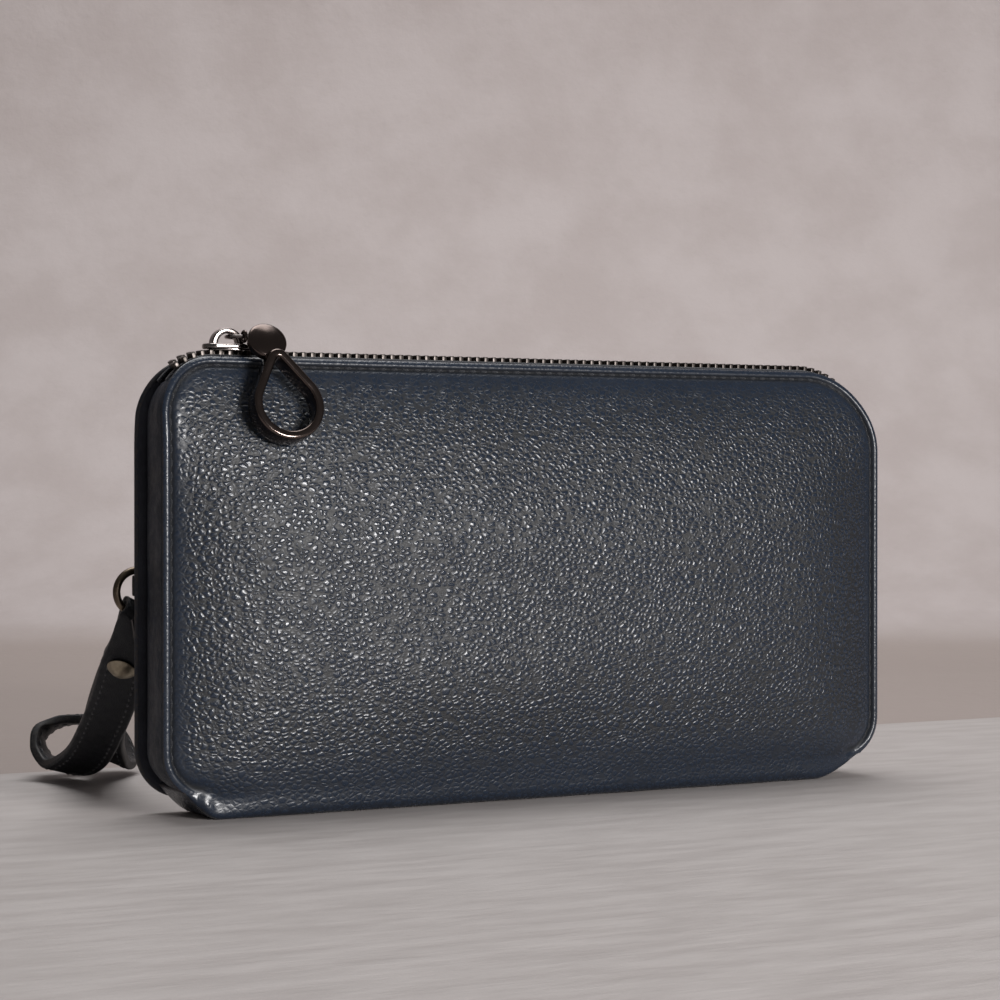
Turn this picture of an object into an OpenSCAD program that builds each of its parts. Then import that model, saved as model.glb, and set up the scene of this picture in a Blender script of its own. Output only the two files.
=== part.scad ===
// Long zip-top wallet with a wrist strap: padded front, gusseted ends, lined inside,
// card slots on the back wall and a zipped coin pocket in the middle.
// X runs along the wallet, Y towards its back, Z up. The bottom rests on Z = 0.

/* [Body] */
// Length over the stitched side edges
body_w = 198; // [180:1:210]
// Height of the leather panels
panel_h = 104.6; // [98:0.2:108]
// Distance from the panel's side edge plane to the middle plane
half_depth = 9.5; // [8.5:0.1:11]
// How far the padded front swells out
front_swell = 9; // [4:0.5:10]
// How far the back swells out
back_swell = 2.5; // [1:0.5:4]
// Radius of the panels' top corner at the strap end
left_r = 13.5; // [11:0.5:14]
// Thickness of the leather panels
leather_t = 1.4; // [1:0.1:1.8]

/* [Main zip] */
// Distance between two teeth of one row
tooth_pitch = 2.3; // [1.8:0.1:2.6]
// Length of one tooth along its row
tooth_l = 0.7; // [0.5:0.05:0.8]
// Radius of the zip at the far top corner
zip_r = 21; // [19:0.5:22]
// Radius of the zip at the strap end's top corner
zip_left_r = 13; // [12:0.5:14]
// Position of the closed slider along X
slider_x = -80; // [-80:1:-70]

/* [Pull] */
// Radius of the domed cap
cap_r = 4.6; // [4:0.1:5.5]
// Depth of the teardrop loop from front to back
loop_depth = 4; // [3:0.1:5]

/* [Strap] */
// Width of the wrist strap
strap_w = 11; // [9:0.5:13]
// Thickness of the wrist strap
strap_t = 2.4; // [1.8:0.1:2.8]

/* [Inside] */
// Thickness of lining cloth
lining_t = 0.5; // [0.3:0.1:0.8]
// Height of the coin pocket
coin_h = 79; // [60:1:82]
// How far each card slot stands above the one in front of it
slot_step = 12; // [8:1:14]

/* [Hidden] */
half_w = body_w / 2;
panel_z = 2.6;
zip_z = panel_h + 1.05;
zip_cx = half_w - 20;
zip_cz = zip_z - zip_r;
zip_sweep = 50.5;
zip_left_cx = half_w - 15;
zip_left_cz = zip_z - zip_left_r;
zip_left_sweep = 55;
tooth_h = 1.5;
tape_t = 0.6;
gusset_r = 10.5;
gusset_cx = half_w - gusset_r;
gusset_cz = 17;
gusset_top = 96.5;
foot_x = 80;
bar_x = -95.5;
bar_y = 13.5;
bar_z = 51;
wire_r = 0.9;
arch_z = 108.1;
link_z = 109.9;
coin_w = 156;
coin_y = 1;
flange_w = 3;

navy = [0.13, 0.16, 0.22];
dark = [0.07, 0.08, 0.11];
cloth = [0.42, 0.36, 0.3];
gunmetal = [0.25, 0.22, 0.2];
bronze = [0.36, 0.28, 0.2];
tape_col = [0.05, 0.06, 0.09];
foam_col = [0.85, 0.83, 0.78];

// Each strap row: centre point, width direction, width factor.
strap_rows = [
    [[-98.6, 17.4, 40], [0.86, -0.2, -0.45], 0.5],
    [[-96.2, 24.4, 33.4], [0.88, -0.25, -0.4], 0.95],
    [[-94.2, 36, 24.4], [0.89, -0.22, -0.41], 1],
    [[-92.6, 50, 15.4], [0.9, -0.16, -0.42], 1],
    [[-91.4, 63, 8.2], [0.91, -0.04, -0.4], 1],
    [[-91.6, 74, 4.4], [0.92, 0.12, -0.33], 1],
    [[-93, 81.5, 3.6], [0.77, 0.61, -0.21], 1],
    [[-95, 87, 6.4], [0.5, 0.86, -0.1], 1],
    [[-94.6, 90.4, 10.4], [0.5, 0.86, -0.09], 1],
    [[-90.4, 92, 13.2], [0.51, 0.86, -0.09], 1],
    [[-84.8, 92.6, 14.2], [0.51, 0.86, -0.09], 1],
    [[-79, 92.6, 13.6], [0.52, 0.85, -0.09], 1],
    [[-74.6, 91.8, 11.2], [0.6, 0.78, -0.1], 1],
    [[-73.2, 90.4, 7.6], [0.8, 0.55, -0.2], 1],
    [[-74.8, 87, 5], [0.93, 0.1, -0.3], 1],
    [[-79.6, 80.5, 5.6], [0.9, 0, -0.4], 1],
    [[-84.2, 72, 10.4], [0.9, 0, -0.42], 1],
    [[-87.2, 62, 16.2], [0.9, 0, -0.42], 1],
    [[-90, 50, 22.6], [0.9, -0.14, -0.42], 1],
    [[-92.8, 37, 28.8], [0.89, -0.22, -0.41], 1],
    [[-95, 25.6, 35.4], [0.88, -0.25, -0.4], 0.95],
    [[-96.8, 19.6, 42.6], [0.86, -0.2, -0.45], 0.5]
];

// Where the strap turns round the ring: point on the wire, wire, pull and stacking directions.
wrap_p = [-99.2, 13.5, 46.7];
wrap_w = [0.866, 0, -0.5];
wrap_d = [-0.305, 0.793, -0.529];
wrap_m = [0.397, 0.611, 0.687];
wrap_r = 2.4;
band_rows = concat(strap_rows, [for (a = [90:-30:-90])
    [wrap_p + wrap_r * (sin(a) * wrap_m - cos(a) * wrap_d), wrap_w, 0.26]]);
rivet_p = [-95.6, 25, 34.4];
rivet_m = [0.458, 0.458, 0.763];

function unit(v) = v / norm(v);
function clamp01(t) = max(0, min(1, t));
function smooth(t) = let (c = clamp01(t)) c * c * (3 - 2 * c);

// Half width of the panel outline at height z; u is below 0 at the strap end.
function outline(z, u) =
    let (r = u < 0 ? left_r : 20)
    z > panel_h - r ? half_w - r + sqrt(max(0, r * r - pow(z - panel_h + r, 2))) :
    z > gusset_cz ? half_w :
    z > 6.6 ? gusset_cx + sqrt(pow(gusset_r, 2) - pow(gusset_cz - z, 2)) :
    foot_x + 2 + (z / 6.6) * (gusset_cx - foot_x);

// Distance of the flat side edge from the middle plane at height z.
function edge_y(z) = half_depth - 4.6 * pow(clamp01((z - panel_h + 20.6) / 20.6), 2);

// Height profile of a padded panel, from 0 to 1.
function swell(z) = smooth((z + 4) / 36) * smooth((panel_h - z + 1) / 48);

// Cross profile of a padded panel, from 0 at the side seam to 1 in the middle.
function pillow(x, w) = let (u = clamp01(abs(x) / (w - flange_w))) 1 - pow(u, 5);

col_u = [-1, -0.97, -0.94, -0.89, -0.8, -0.66, -0.48, -0.25, 0, 0.25, 0.48, 0.66, 0.8, 0.89, 0.94, 0.97, 1];
row_z = [2.6, 4.5, 7, 9.5, 13, 18, 26, 36, 48, 60, 71, 80, 86, 91, 95, 99, 102.4, 104.6];
foam_u = [-1, -0.9, -0.75, -0.55, -0.3, 0, 0.3, 0.55, 0.75, 0.9, 1];
foam_z = [12, 18, 27, 38, 50, 62, 72, 80, 86];

function panel_point(u, z, depth, inset) =
    let (w = outline(z, u), x = u * w)
    [x, -(edge_y(z) + depth * swell(z) * pillow(x, w) - inset), z];

function grid(us, zs, depth, inset) =
    [for (z = zs) for (u = us) panel_point(u, z, depth, inset)];

function sheet_faces(nu, nz) = let (n = nu * nz) concat(
    [for (j = [0:nz - 2]) for (i = [0:nu - 2]) let (a = j * nu + i) [a, a + 1, a + nu + 1]],
    [for (j = [0:nz - 2]) for (i = [0:nu - 2]) let (a = j * nu + i) [a, a + nu + 1, a + nu]],
    [for (j = [0:nz - 2]) for (i = [0:nu - 2]) let (a = n + j * nu + i) [a, a + nu + 1, a + 1]],
    [for (j = [0:nz - 2]) for (i = [0:nu - 2]) let (a = n + j * nu + i) [a, a + nu, a + nu + 1]],
    [for (i = [0:nu - 2]) [i, n + i, n + i + 1]],
    [for (i = [0:nu - 2]) [i, n + i + 1, i + 1]],
    [for (i = [0:nu - 2]) let (a = (nz - 1) * nu + i) [a, n + a + 1, n + a]],
    [for (i = [0:nu - 2]) let (a = (nz - 1) * nu + i) [a, a + 1, n + a + 1]],
    [for (j = [0:nz - 2]) let (a = j * nu) [a, n + a + nu, n + a]],
    [for (j = [0:nz - 2]) let (a = j * nu) [a, a + nu, n + a + nu]],
    [for (j = [0:nz - 2]) let (a = j * nu + nu - 1) [a, n + a, n + a + nu]],
    [for (j = [0:nz - 2]) let (a = j * nu + nu - 1) [a, n + a + nu, a + nu]]
);

function flip(points) = [for (p = points) [p[0], -p[1], p[2]]];
function turned(faces) = [for (f = faces) [f[2], f[1], f[0]]];

function arc_points(cx, cz, r, a0, a1, n) =
    [for (i = [0:n]) let (a = a0 + (a1 - a0) * i / n) [cx + r * cos(a), cz + r * sin(a)]];

// One strap row as four corners, with its width direction made square to the path.
function strap_ring(i) =
    let (
        n = len(band_rows),
        row = band_rows[i],
        along = unit(band_rows[(i + 1) % n][0] - band_rows[(i + n - 1) % n][0]),
        across = unit(row[1] - (row[1] * along) * along),
        out = cross(across, along),
        half = strap_w * row[2] / 2,
        thick = strap_t * (0.3 + 0.7 * row[2]) / 2
    )
    [for (s = [[-1, -1], [1, -1], [1, 1], [-1, 1]])
        row[0] + s[0] * half * across + s[1] * thick * out];

module extrude_y(y0, y1) {
    translate([0, y1, 0])
        rotate([90, 0, 0])
            linear_extrude(y1 - y0)
                children();
}

module extrude_x(x0, x1) {
    translate([x0, 0, 0])
        rotate([90, 0, 90])
            linear_extrude(x1 - x0)
                children();
}

module box(x, y, z) {
    translate([x[0], y[0], z[0]])
        cube([x[1] - x[0], y[1] - y[0], z[1] - z[0]]);
}

module rod(p, q, r) {
    v = q - p;
    translate(p)
        rotate([0, acos(v[2] / norm(v)), atan2(v[1], v[0])])
            cylinder(h = norm(v), r = r, $fn = 32);
}

module front_panel() {
    color(navy)
        polyhedron(
            concat(
                grid(col_u, row_z, front_swell, 0),
                grid(col_u, row_z, front_swell, leather_t)
            ),
            turned(sheet_faces(len(col_u), len(row_z)))
        );
}

module back_panel() {
    color(navy)
        polyhedron(
            flip(concat(
                grid(col_u, row_z, back_swell, 0),
                grid(col_u, row_z, back_swell, leather_t)
            )),
            sheet_faces(len(col_u), len(row_z))
        );
}

// The bottom: a flat strip with its back edge turned up, and two rising ends.
module bottom_panel() {
    color(navy) {
        extrude_x(-foot_x, foot_x)
            polygon([
                [-8.2, 0], [8, 0], [half_depth, 1.2], [half_depth, 2.4],
                [half_depth - leather_t, 2.4], [half_depth - leather_t, 1.7],
                [7.7, leather_t], [-8.2, leather_t]
            ]);
        for (s = [0, 1])
            mirror([s, 0, 0])
                extrude_y(-7.8, 7.8)
                    polygon([
                        [foot_x, 0], [foot_x + 3.6, 0.9], [foot_x + 7, 3], [foot_x + 8.8, 6.2],
                        [foot_x + 7.3, 6.2], [foot_x + 6, 4], [foot_x + 3, 2.2], [foot_x, leather_t]
                    ]);
    }
}

// Cross-section of a gusset: x is the distance outward from the corner's centre line.
module gusset_section(r) {
    translate([r - 3.2, -6.9])
        square([1.2, 13.8]);
    for (s = [0, 1])
        mirror([0, s])
            translate([r - 3.2, 6.8])
                square([3.2, 1]);
}

module gusset() {
    color(dark)
        intersection() {
            union() {
                translate([gusset_cx, 0, gusset_cz])
                    linear_extrude(gusset_top - gusset_cz)
                        gusset_section(gusset_r);
                translate([gusset_cx, 0, gusset_cz])
                    rotate([90, 0, 0])
                        rotate([0, 0, -90])
                            rotate_extrude(angle = 90, $fn = 64)
                                gusset_section(gusset_r);
            }
            extrude_x(half_w - 30, half_w + 1)
                polygon([[-8, 5], [8, 5], [8, 84], [5, gusset_top], [-5, gusset_top], [-8, 84]]);
        }
}

module right_gusset() {
    gusset();
}

module left_gusset() {
    mirror([1, 0, 0])
        gusset();
}

// Strip that follows the zip from end to end, from d_in to d_out outside its line.
module zip_band(d_out, d_in) {
    a0 = 90 - zip_sweep;
    a1 = 90 + zip_left_sweep;
    polygon(concat(
        arc_points(zip_cx, zip_cz, zip_r + d_out, a0, 90, 14),
        arc_points(-zip_left_cx, zip_left_cz, zip_left_r + d_out, 90, a1, 14),
        arc_points(-zip_left_cx, zip_left_cz, zip_left_r + d_in, a1, 90, 14),
        arc_points(zip_cx, zip_cz, zip_r + d_in, 90, a0, 14)
    ));
}

// Zip tape: a flat edge by the teeth and a skirt turned inward.
module zip_tape() {
    color(tape_col) {
        extrude_y(-3.4, -2.3)
            zip_band(tape_t / 2, -tape_t / 2);
        extrude_y(-3.4, -2.8)
            zip_band(tape_t / 2, -6.4);
    }
}

module front_zip_tape() {
    zip_tape();
}

module back_zip_tape() {
    mirror([0, 1, 0])
        zip_tape();
}

module tooth() {
    translate([-tooth_l / 2, -2.3, -tooth_h / 2])
        cube([tooth_l, 3, tooth_h]);
}

// One row of teeth along the whole zip; shift places it half a pitch from the other row.
module zip_teeth(shift) {
    right_len = zip_cx + zip_sweep * PI / 180 * zip_r - tooth_pitch / 2;
    left_len = zip_left_cx + zip_left_sweep * PI / 180 * zip_left_r - tooth_pitch / 2;
    color(gunmetal)
        for (i = [-floor(left_len / tooth_pitch):floor(right_len / tooth_pitch) - 1]) {
            t = (i + shift) * tooth_pitch;
            side = t < 0 ? -1 : 1;
            r = t < 0 ? zip_left_r : zip_r;
            x = min(abs(t), t < 0 ? zip_left_cx : zip_cx);
            translate([side * x, 0, zip_z - r])
                rotate([0, side * (abs(t) - x) / r * 180 / PI, 0])
                    translate([0, 0, r])
                        tooth();
        }
}

module front_zip_teeth() {
    zip_teeth(0.25);
}

module back_zip_teeth() {
    mirror([0, 1, 0])
        zip_teeth(0.75);
}

// Slider: top plate with short lips and an arch for the link.
module slider() {
    color(gunmetal) {
        box([slider_x - 5.7, slider_x + 5.7], [-3.8, 3.8], [106.9, 108.2]);
        for (s = [0, 1])
            mirror([0, s, 0])
                box([slider_x - 5.7, slider_x + 5.7], [3, 3.8], [106.6, 107]);
        extrude_y(-1, 1)
            difference() {
                translate([slider_x, arch_z])
                    circle(r = 3.8, $fn = 64);
                translate([slider_x, arch_z])
                    circle(r = 2.6, $fn = 64);
                translate([slider_x - 5, arch_z - 5])
                    square([10, 5]);
            }
    }
}

module pull_link() {
    color(gunmetal)
        translate([slider_x + 3.2, 0, link_z])
            rotate_extrude($fn = 64)
                translate([3, 0])
                    circle(r = 0.4, $fn = 24);
}

// Domed cap with the small eye that hangs on the link.
module pull_cap() {
    eye = [slider_x + 3.2, -3, link_z];
    face = [slider_x + 6.7, -8.2, 108.7];
    color(gunmetal) {
        translate(eye)
            rotate([0, 90, 0])
                rotate_extrude($fn = 48)
                    translate([1.15, 0])
                        circle(r = 0.4, $fn = 24);
        rod(eye + [0.2, -1.25, 0], face + [-1.4, 1.9, -0.6], 0.7);
        translate(face)
            rotate([58.5, 0, -3]) {
                translate([0, 0, -1.6])
                    cylinder(h = 2.1, r = cap_r, $fn = 96);
                intersection() {
                    translate([0, 0, -14.2])
                        sphere(r = 15.4, $fn = 96);
                    translate([0, 0, 0.4])
                        cylinder(h = 2, r = cap_r, $fn = 96);
                }
            }
    }
}

// Outline of the teardrop loop: two arcs joined by straight sides.
module teardrop(inset) {
    b = asin((8.4 - 2.6) / 10.8);
    polygon(concat(
        arc_points(0, -0.9, 2.6 - inset, b, 180 - b, 12),
        arc_points(0, -11.7, 8.4 - inset, 180 - b, 360 + b, 48)
    ));
}

module pull_loop() {
    color(gunmetal)
        translate([slider_x + 7.4, -10.6, 104.4])
            rotate([-18, -6.5, 0])
                extrude_y(-loop_depth / 2, loop_depth / 2)
                    difference() {
                        teardrop(0);
                        teardrop(1.5);
                    }
}

// Folded leather tab that holds the ring's straight side against the back.
module ring_tab() {
    color(navy)
        translate([0, 0, bar_z - 1]) {
            linear_extrude(4.8)
                difference() {
                    union() {
                        translate([bar_x, bar_y])
                            circle(r = 2.3, $fn = 48);
                        translate([bar_x, 11.1])
                            square([3, 3.2]);
                    }
                    translate([bar_x, bar_y])
                        circle(r = 1.2, $fn = 48);
                }
            linear_extrude(4.8)
                polygon([
                    [bar_x + 2.6, 11.1], [bar_x + 2.6, 14.3], [bar_x + 4.6, 14.3],
                    [bar_x + 16, 14.8], [bar_x + 16, 12.6], [bar_x + 6, 12.1]
                ]);
        }
}

module d_ring() {
    color(bronze)
        translate([0, bar_y, 0]) {
            rod([bar_x, 0, bar_z - 5], [bar_x, 0, bar_z + 5], wire_r);
            for (s = [-1, 1]) {
                translate([bar_x, 0, bar_z + 5 * s])
                    sphere(r = wire_r, $fn = 32);
                rod([bar_x, 0, bar_z + 5 * s], [bar_x - 1.2, 0, bar_z + 5 * s], wire_r);
            }
            translate([bar_x - 1.2, 0, bar_z])
                rotate([90, 0, 0])
                    rotate([0, 0, 90])
                        rotate_extrude(angle = 180, $fn = 64)
                            translate([5, 0])
                                circle(r = wire_r, $fn = 32);
        }
}

module wrist_strap() {
    n = len(band_rows);
    color(dark)
        polyhedron(
            [for (i = [0:n - 1]) for (p = strap_ring(i)) p],
            [for (i = [0:n - 1]) for (k = [0:3]) for (h = [0, 1])
                let (
                    a = 4 * i + k,
                    b = 4 * i + (k + 1) % 4,
                    c = 4 * ((i + 1) % n) + (k + 1) % 4,
                    d = 4 * ((i + 1) % n) + k
                )
                h == 0 ? [a, b, c] : [a, c, d]]
        );
}

module along(p, v) {
    translate(p)
        rotate([0, acos(v[2] / norm(v)), atan2(v[1], v[0])])
            children();
}

// Domed cap on the face of the strap that looks at the floor, with its post.
module strap_rivet_cap() {
    color(bronze)
        along(rivet_p, -rivet_m) {
            translate([0, 0, -2.4])
                cylinder(h = 5.2, r = 1.3, $fn = 48);
            translate([0, 0, 2.6])
                cylinder(h = 0.6, r = 3.5, $fn = 64);
            intersection() {
                translate([0, 0, -2.9])
                    sphere(r = 7, $fn = 96);
                translate([0, 0, 3.1])
                    cylinder(h = 2, r = 3.5, $fn = 64);
            }
        }
}

module strap_rivet_back() {
    color(bronze)
        along(rivet_p, rivet_m)
            translate([0, 0, 2.6])
                cylinder(h = 1, r = 3.3, $fn = 64);
}

// Padding between the front leather and the front lining.
module front_foam() {
    nu = len(foam_u);
    nz = len(foam_z);
    front = [for (z = foam_z) for (u = foam_u)
        let (x = u * 88, w = outline(z, u))
        [x, -(edge_y(z) + front_swell * swell(z) * pillow(x, w) - leather_t - 0.6), z]];
    back = [for (z = foam_z) for (u = foam_u) [u * 88, -7.5, z]];
    color(foam_col)
        polyhedron(concat(front, back), turned(sheet_faces(nu, nz)));
}

module lining(y) {
    color(cloth)
        extrude_y(y, y + lining_t)
            polygon([[-92.4, 18], [-85, 7], [85, 7], [92.4, 18], [92.4, 84], [90, 90], [-90, 90], [-92.4, 84]]);
}

module front_lining() {
    lining(-7.4);
}

module back_lining() {
    lining(6.7);
}

module bottom_lining() {
    color(cloth)
        box([-79, 79], [-6.4, 6.3], [1.5, 2]);
}

// Stiffening board behind the back lining.
module back_board() {
    color(foam_col)
        extrude_y(7.3, 7.9)
            polygon([[-91, 17], [-84, 7], [84, 7], [91, 17], [91, 83], [-91, 83]]);
}

// Card slots, numbered from the back one (tallest) to the front one.
module card_slot(side, k) {
    y1 = 6.6 - 0.7 * (k - 1);
    color(navy)
        mirror([side, 0, 0])
            box([1.5, 90], [y1 - 0.6, y1], [16, 86 - slot_step * (k - 1)]);
}

module card_slot_a1() {
    card_slot(1, 1);
}

module card_slot_a2() {
    card_slot(1, 2);
}

module card_slot_a3() {
    card_slot(1, 3);
}

module card_slot_a4() {
    card_slot(1, 4);
}

module card_slot_b1() {
    card_slot(0, 1);
}

module card_slot_b2() {
    card_slot(0, 2);
}

module card_slot_b3() {
    card_slot(0, 3);
}

module card_slot_b4() {
    card_slot(0, 4);
}

// Front wall of the coin pocket with its folded ends and bottom.
module coin_front() {
    color(cloth)
        difference() {
            box([-coin_w / 2, coin_w / 2], [-1.6, 3.4], [8, coin_h]);
            box([1.2 - coin_w / 2, coin_w / 2 - 1.2], [-1.1, 4], [8.6, coin_h + 1]);
            box([-coin_w, coin_w], [3, 4], [0, coin_h + 1]);
        }
}

module coin_back() {
    color(cloth)
        box([-coin_w / 2, coin_w / 2], [3.1, 3.6], [8, coin_h]);
}

module coin_tape_front() {
    color(tape_col)
        box([-coin_w / 2, coin_w / 2], [-1.6, coin_y - 1], [coin_h + 0.3, coin_h + 0.8]);
}

module coin_tape_back() {
    color(tape_col)
        box([-coin_w / 2, coin_w / 2], [coin_y + 1, 3.6], [coin_h + 0.3, coin_h + 0.8]);
}

module coin_teeth(y0, shift) {
    color(bronze)
        for (i = [-31:30])
            translate([(i + shift) * 2.4 - 0.45, y0, coin_h])
                cube([0.9, 1.2, 1.1]);
}

module coin_teeth_front() {
    coin_teeth(coin_y - 1, 0.25);
}

module coin_teeth_back() {
    coin_teeth(coin_y - 0.2, 0.75);
}

module coin_slider() {
    color(bronze) {
        box([-66.5, -57.5], [coin_y - 2.2, coin_y + 2.2], [coin_h + 1.4, coin_h + 2.3]);
        extrude_y(coin_y - 0.7, coin_y + 0.7)
            difference() {
                translate([-62, coin_h + 2.1])
                    circle(r = 2.6, $fn = 48);
                translate([-62, coin_h + 2.1])
                    circle(r = 1.8, $fn = 48);
                translate([-66, coin_h - 2.1])
                    square([8, 4.2]);
            }
    }
}

// Coin zip pull: a flat tab whose ring goes round the slider's arch.
module coin_pull() {
    color(bronze)
        translate([-62, coin_y, coin_h + 3.2]) {
            for (s = [-1, 1])
                box([-6, 0.5], [s * 1.45 - 0.45, s * 1.45 + 0.45], [-0.4, 0.4]);
            box([-0.5, 0.4], [-1.9, 1.9], [-0.4, 0.4]);
            difference() {
                box([-13.5, -5], [-2, 2], [-0.4, 0.4]);
                translate([-11, 0, -1])
                    cylinder(h = 2, r = 1, $fn = 32);
            }
        }
}

front_panel();
bottom_panel();
back_panel();
left_gusset();
right_gusset();
front_zip_tape();
back_zip_tape();
front_zip_teeth();
back_zip_teeth();
slider();
pull_link();
pull_cap();
pull_loop();
ring_tab();
d_ring();
wrist_strap();
strap_rivet_cap();
strap_rivet_back();
front_foam();
front_lining();
bottom_lining();
back_board();
back_lining();
card_slot_a1();
card_slot_a2();
card_slot_a3();
card_slot_a4();
card_slot_b1();
card_slot_b2();
card_slot_b3();
card_slot_b4();
coin_front();
coin_back();
coin_tape_front();
coin_tape_back();
coin_teeth_front();
coin_teeth_back();
coin_slider();
coin_pull();
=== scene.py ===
import math

import bmesh
import bpy
import numpy as np
from mathutils import Euler, Matrix, Vector, noise


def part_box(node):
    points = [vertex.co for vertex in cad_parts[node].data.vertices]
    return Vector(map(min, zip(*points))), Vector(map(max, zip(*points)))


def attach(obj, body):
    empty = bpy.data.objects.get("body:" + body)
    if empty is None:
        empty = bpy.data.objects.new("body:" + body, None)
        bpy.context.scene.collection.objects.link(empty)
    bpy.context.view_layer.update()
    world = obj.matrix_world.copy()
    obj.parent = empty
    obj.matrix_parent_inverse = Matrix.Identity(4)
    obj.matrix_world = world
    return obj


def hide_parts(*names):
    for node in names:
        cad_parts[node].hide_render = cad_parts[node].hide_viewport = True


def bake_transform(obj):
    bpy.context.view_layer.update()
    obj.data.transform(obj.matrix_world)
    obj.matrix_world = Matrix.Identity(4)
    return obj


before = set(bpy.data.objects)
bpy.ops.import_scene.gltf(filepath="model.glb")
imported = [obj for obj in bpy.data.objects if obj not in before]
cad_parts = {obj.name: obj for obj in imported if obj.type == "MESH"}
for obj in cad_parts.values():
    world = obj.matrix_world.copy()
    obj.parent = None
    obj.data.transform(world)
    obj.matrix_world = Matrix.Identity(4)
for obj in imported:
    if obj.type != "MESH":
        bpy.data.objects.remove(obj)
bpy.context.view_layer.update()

# ---------------------------------------------------------------- sizes, in millimetres

MM = 0.001
RIM_BULGE = 0.35  # how far a cut leather edge rounds out, as a share of its thickness


def low(node, axis):
    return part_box(node)[0][axis] / MM


def high(node, axis):
    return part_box(node)[1][axis] / MM


HALF_W = high("front_panel", 0)
PANEL_H = high("front_panel", 2)
EDGE_Y = 9.5  # side edge of a panel, from the middle plane
TOP_R = 20.0  # radius of the panels' top corner at the far end
LEFT_R = 13.5  # and at the strap end
LEATHER = 1.4
FOOT_R = 10.5  # radius of the front's bottom corners
FOOT_CX = HALF_W - FOOT_R
FOOT_CZ = 15.5
FOOT_Z = 6.3  # where the front turns under
FOOT_END = 93.56  # end of the underside along X
FOOT_Y = 8.4  # where the turned hide comes flat, in front of the middle
HEEL_Y = 6.2  # where it starts up inside the back
BACK_Z = 3.2  # bottom edge of the back panel
BACK_R = 12.0  # radius of its bottom corners
SEAM_IN = 2.05  # stitch line, from a panel's edge
STITCH_PITCH = 3.0
STITCH_L = 2.35
ZIP_R = 21.0
ZIP_CX = HALF_W - TOP_R
ZIP_Z = PANEL_H + 1.05
ZIP_SWEEP = math.radians(50.5)
ZIP_LEFT_R = 13.8
ZIP_LEFT_CX = HALF_W - 14.6
ZIP_LEFT_SWEEP = math.radians(55)
TOOTH_PITCH = 2.3
SLIDER_X = (low("slider", 0) + high("slider", 0)) / 2
PLATE_Z = 106.95  # underside of the slider's plate
LINK_Z = (low("pull_link", 2) + high("pull_link", 2)) / 2
BAR = Vector((-95.5, 13.5, 51.0))  # middle of the ring's straight side
WIRE_R = 0.9
PAD_HALF_W = 86.5
PAD_FLAT_Y = 7.6  # flat inner face of the padding, from the middle plane
COIN_Y = 1.0
COIN_PITCH = 2.4  # between two teeth of one row of the coin zip
COIN_SLIDER_X = -62.0
COIN_H = high("coin_front", 2)

# Strap rows: centre, direction of the width, share of the full width.
STRAP_ROWS = [
    ((-98.6, 17.4, 40.0), (0.86, -0.20, -0.45), 0.50),
    ((-96.2, 24.4, 33.4), (0.88, -0.25, -0.40), 0.95),
    ((-94.2, 36.0, 24.4), (0.89, -0.22, -0.41), 1.00),
    ((-92.6, 50.0, 15.4), (0.90, -0.16, -0.42), 1.00),
    ((-91.4, 63.0, 8.2), (0.91, -0.04, -0.40), 1.00),
    ((-91.6, 74.0, 4.4), (0.92, 0.12, -0.33), 1.00),
    ((-93.0, 81.5, 3.6), (0.77, 0.61, -0.21), 1.00),
    ((-95.0, 87.0, 6.4), (0.50, 0.86, -0.10), 1.00),
    ((-94.6, 90.4, 10.4), (0.50, 0.86, -0.09), 1.00),
    ((-90.4, 92.0, 13.2), (0.51, 0.86, -0.09), 1.00),
    ((-84.8, 92.6, 14.2), (0.51, 0.86, -0.09), 1.00),
    ((-79.0, 92.6, 13.6), (0.52, 0.85, -0.09), 1.00),
    ((-74.6, 91.8, 11.2), (0.60, 0.78, -0.10), 1.00),
    ((-73.2, 90.4, 7.6), (0.80, 0.55, -0.20), 1.00),
    ((-74.8, 87.0, 5.0), (0.93, 0.10, -0.30), 1.00),
    ((-79.6, 80.5, 5.6), (0.90, 0.00, -0.40), 1.00),
    ((-84.2, 72.0, 10.4), (0.90, 0.00, -0.42), 1.00),
    ((-87.2, 62.0, 16.2), (0.90, 0.00, -0.42), 1.00),
    ((-90.0, 50.0, 22.6), (0.90, -0.14, -0.42), 1.00),
    ((-92.8, 37.0, 28.8), (0.89, -0.22, -0.41), 1.00),
    ((-95.0, 25.6, 35.4), (0.88, -0.25, -0.40), 0.95),
    ((-96.8, 19.6, 42.6), (0.86, -0.20, -0.45), 0.50),
]
STRAP_W = 11.0
STRAP_T = 2.4
STRAP_SEAM_IN = 1.9  # stitch line, from the strap's edge
WRAP_AT = Vector((-99.2, 13.5, 46.7))  # where the strap turns round the ring's wire
WRAP_ACROSS = Vector((0.866, 0, -0.5))
WRAP_PULL = Vector((-0.305, 0.793, -0.529))
WRAP_STACK = Vector((0.397, 0.611, 0.687))
WRAP_R = 2.4
WRAP_SHARE = 0.27
RIVET_AT = Vector((-95.6, 25.0, 34.4))
RIVET_OUT = Vector((0.458, 0.458, 0.763))

# ---------------------------------------------------------------- camera

AZIMUTH = math.radians(28.618)
PITCH = math.radians(0.3307)
cam_data = bpy.data.cameras.new("camera")
cam_data.lens = 90
cam_data.sensor_width = 36
cam_data.clip_start = 0.01
camera = bpy.data.objects.new("camera", cam_data)
bpy.context.scene.collection.objects.link(camera)
camera.location = (-0.300453, -0.535655, 0.075629)
look = Vector((
    math.sin(AZIMUTH) * math.cos(PITCH),
    math.cos(AZIMUTH) * math.cos(PITCH),
    -math.sin(PITCH),
))
camera.rotation_euler = look.to_track_quat("-Z", "Y").to_euler()
bpy.context.scene.camera = camera

# ---------------------------------------------------------------- materials


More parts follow.
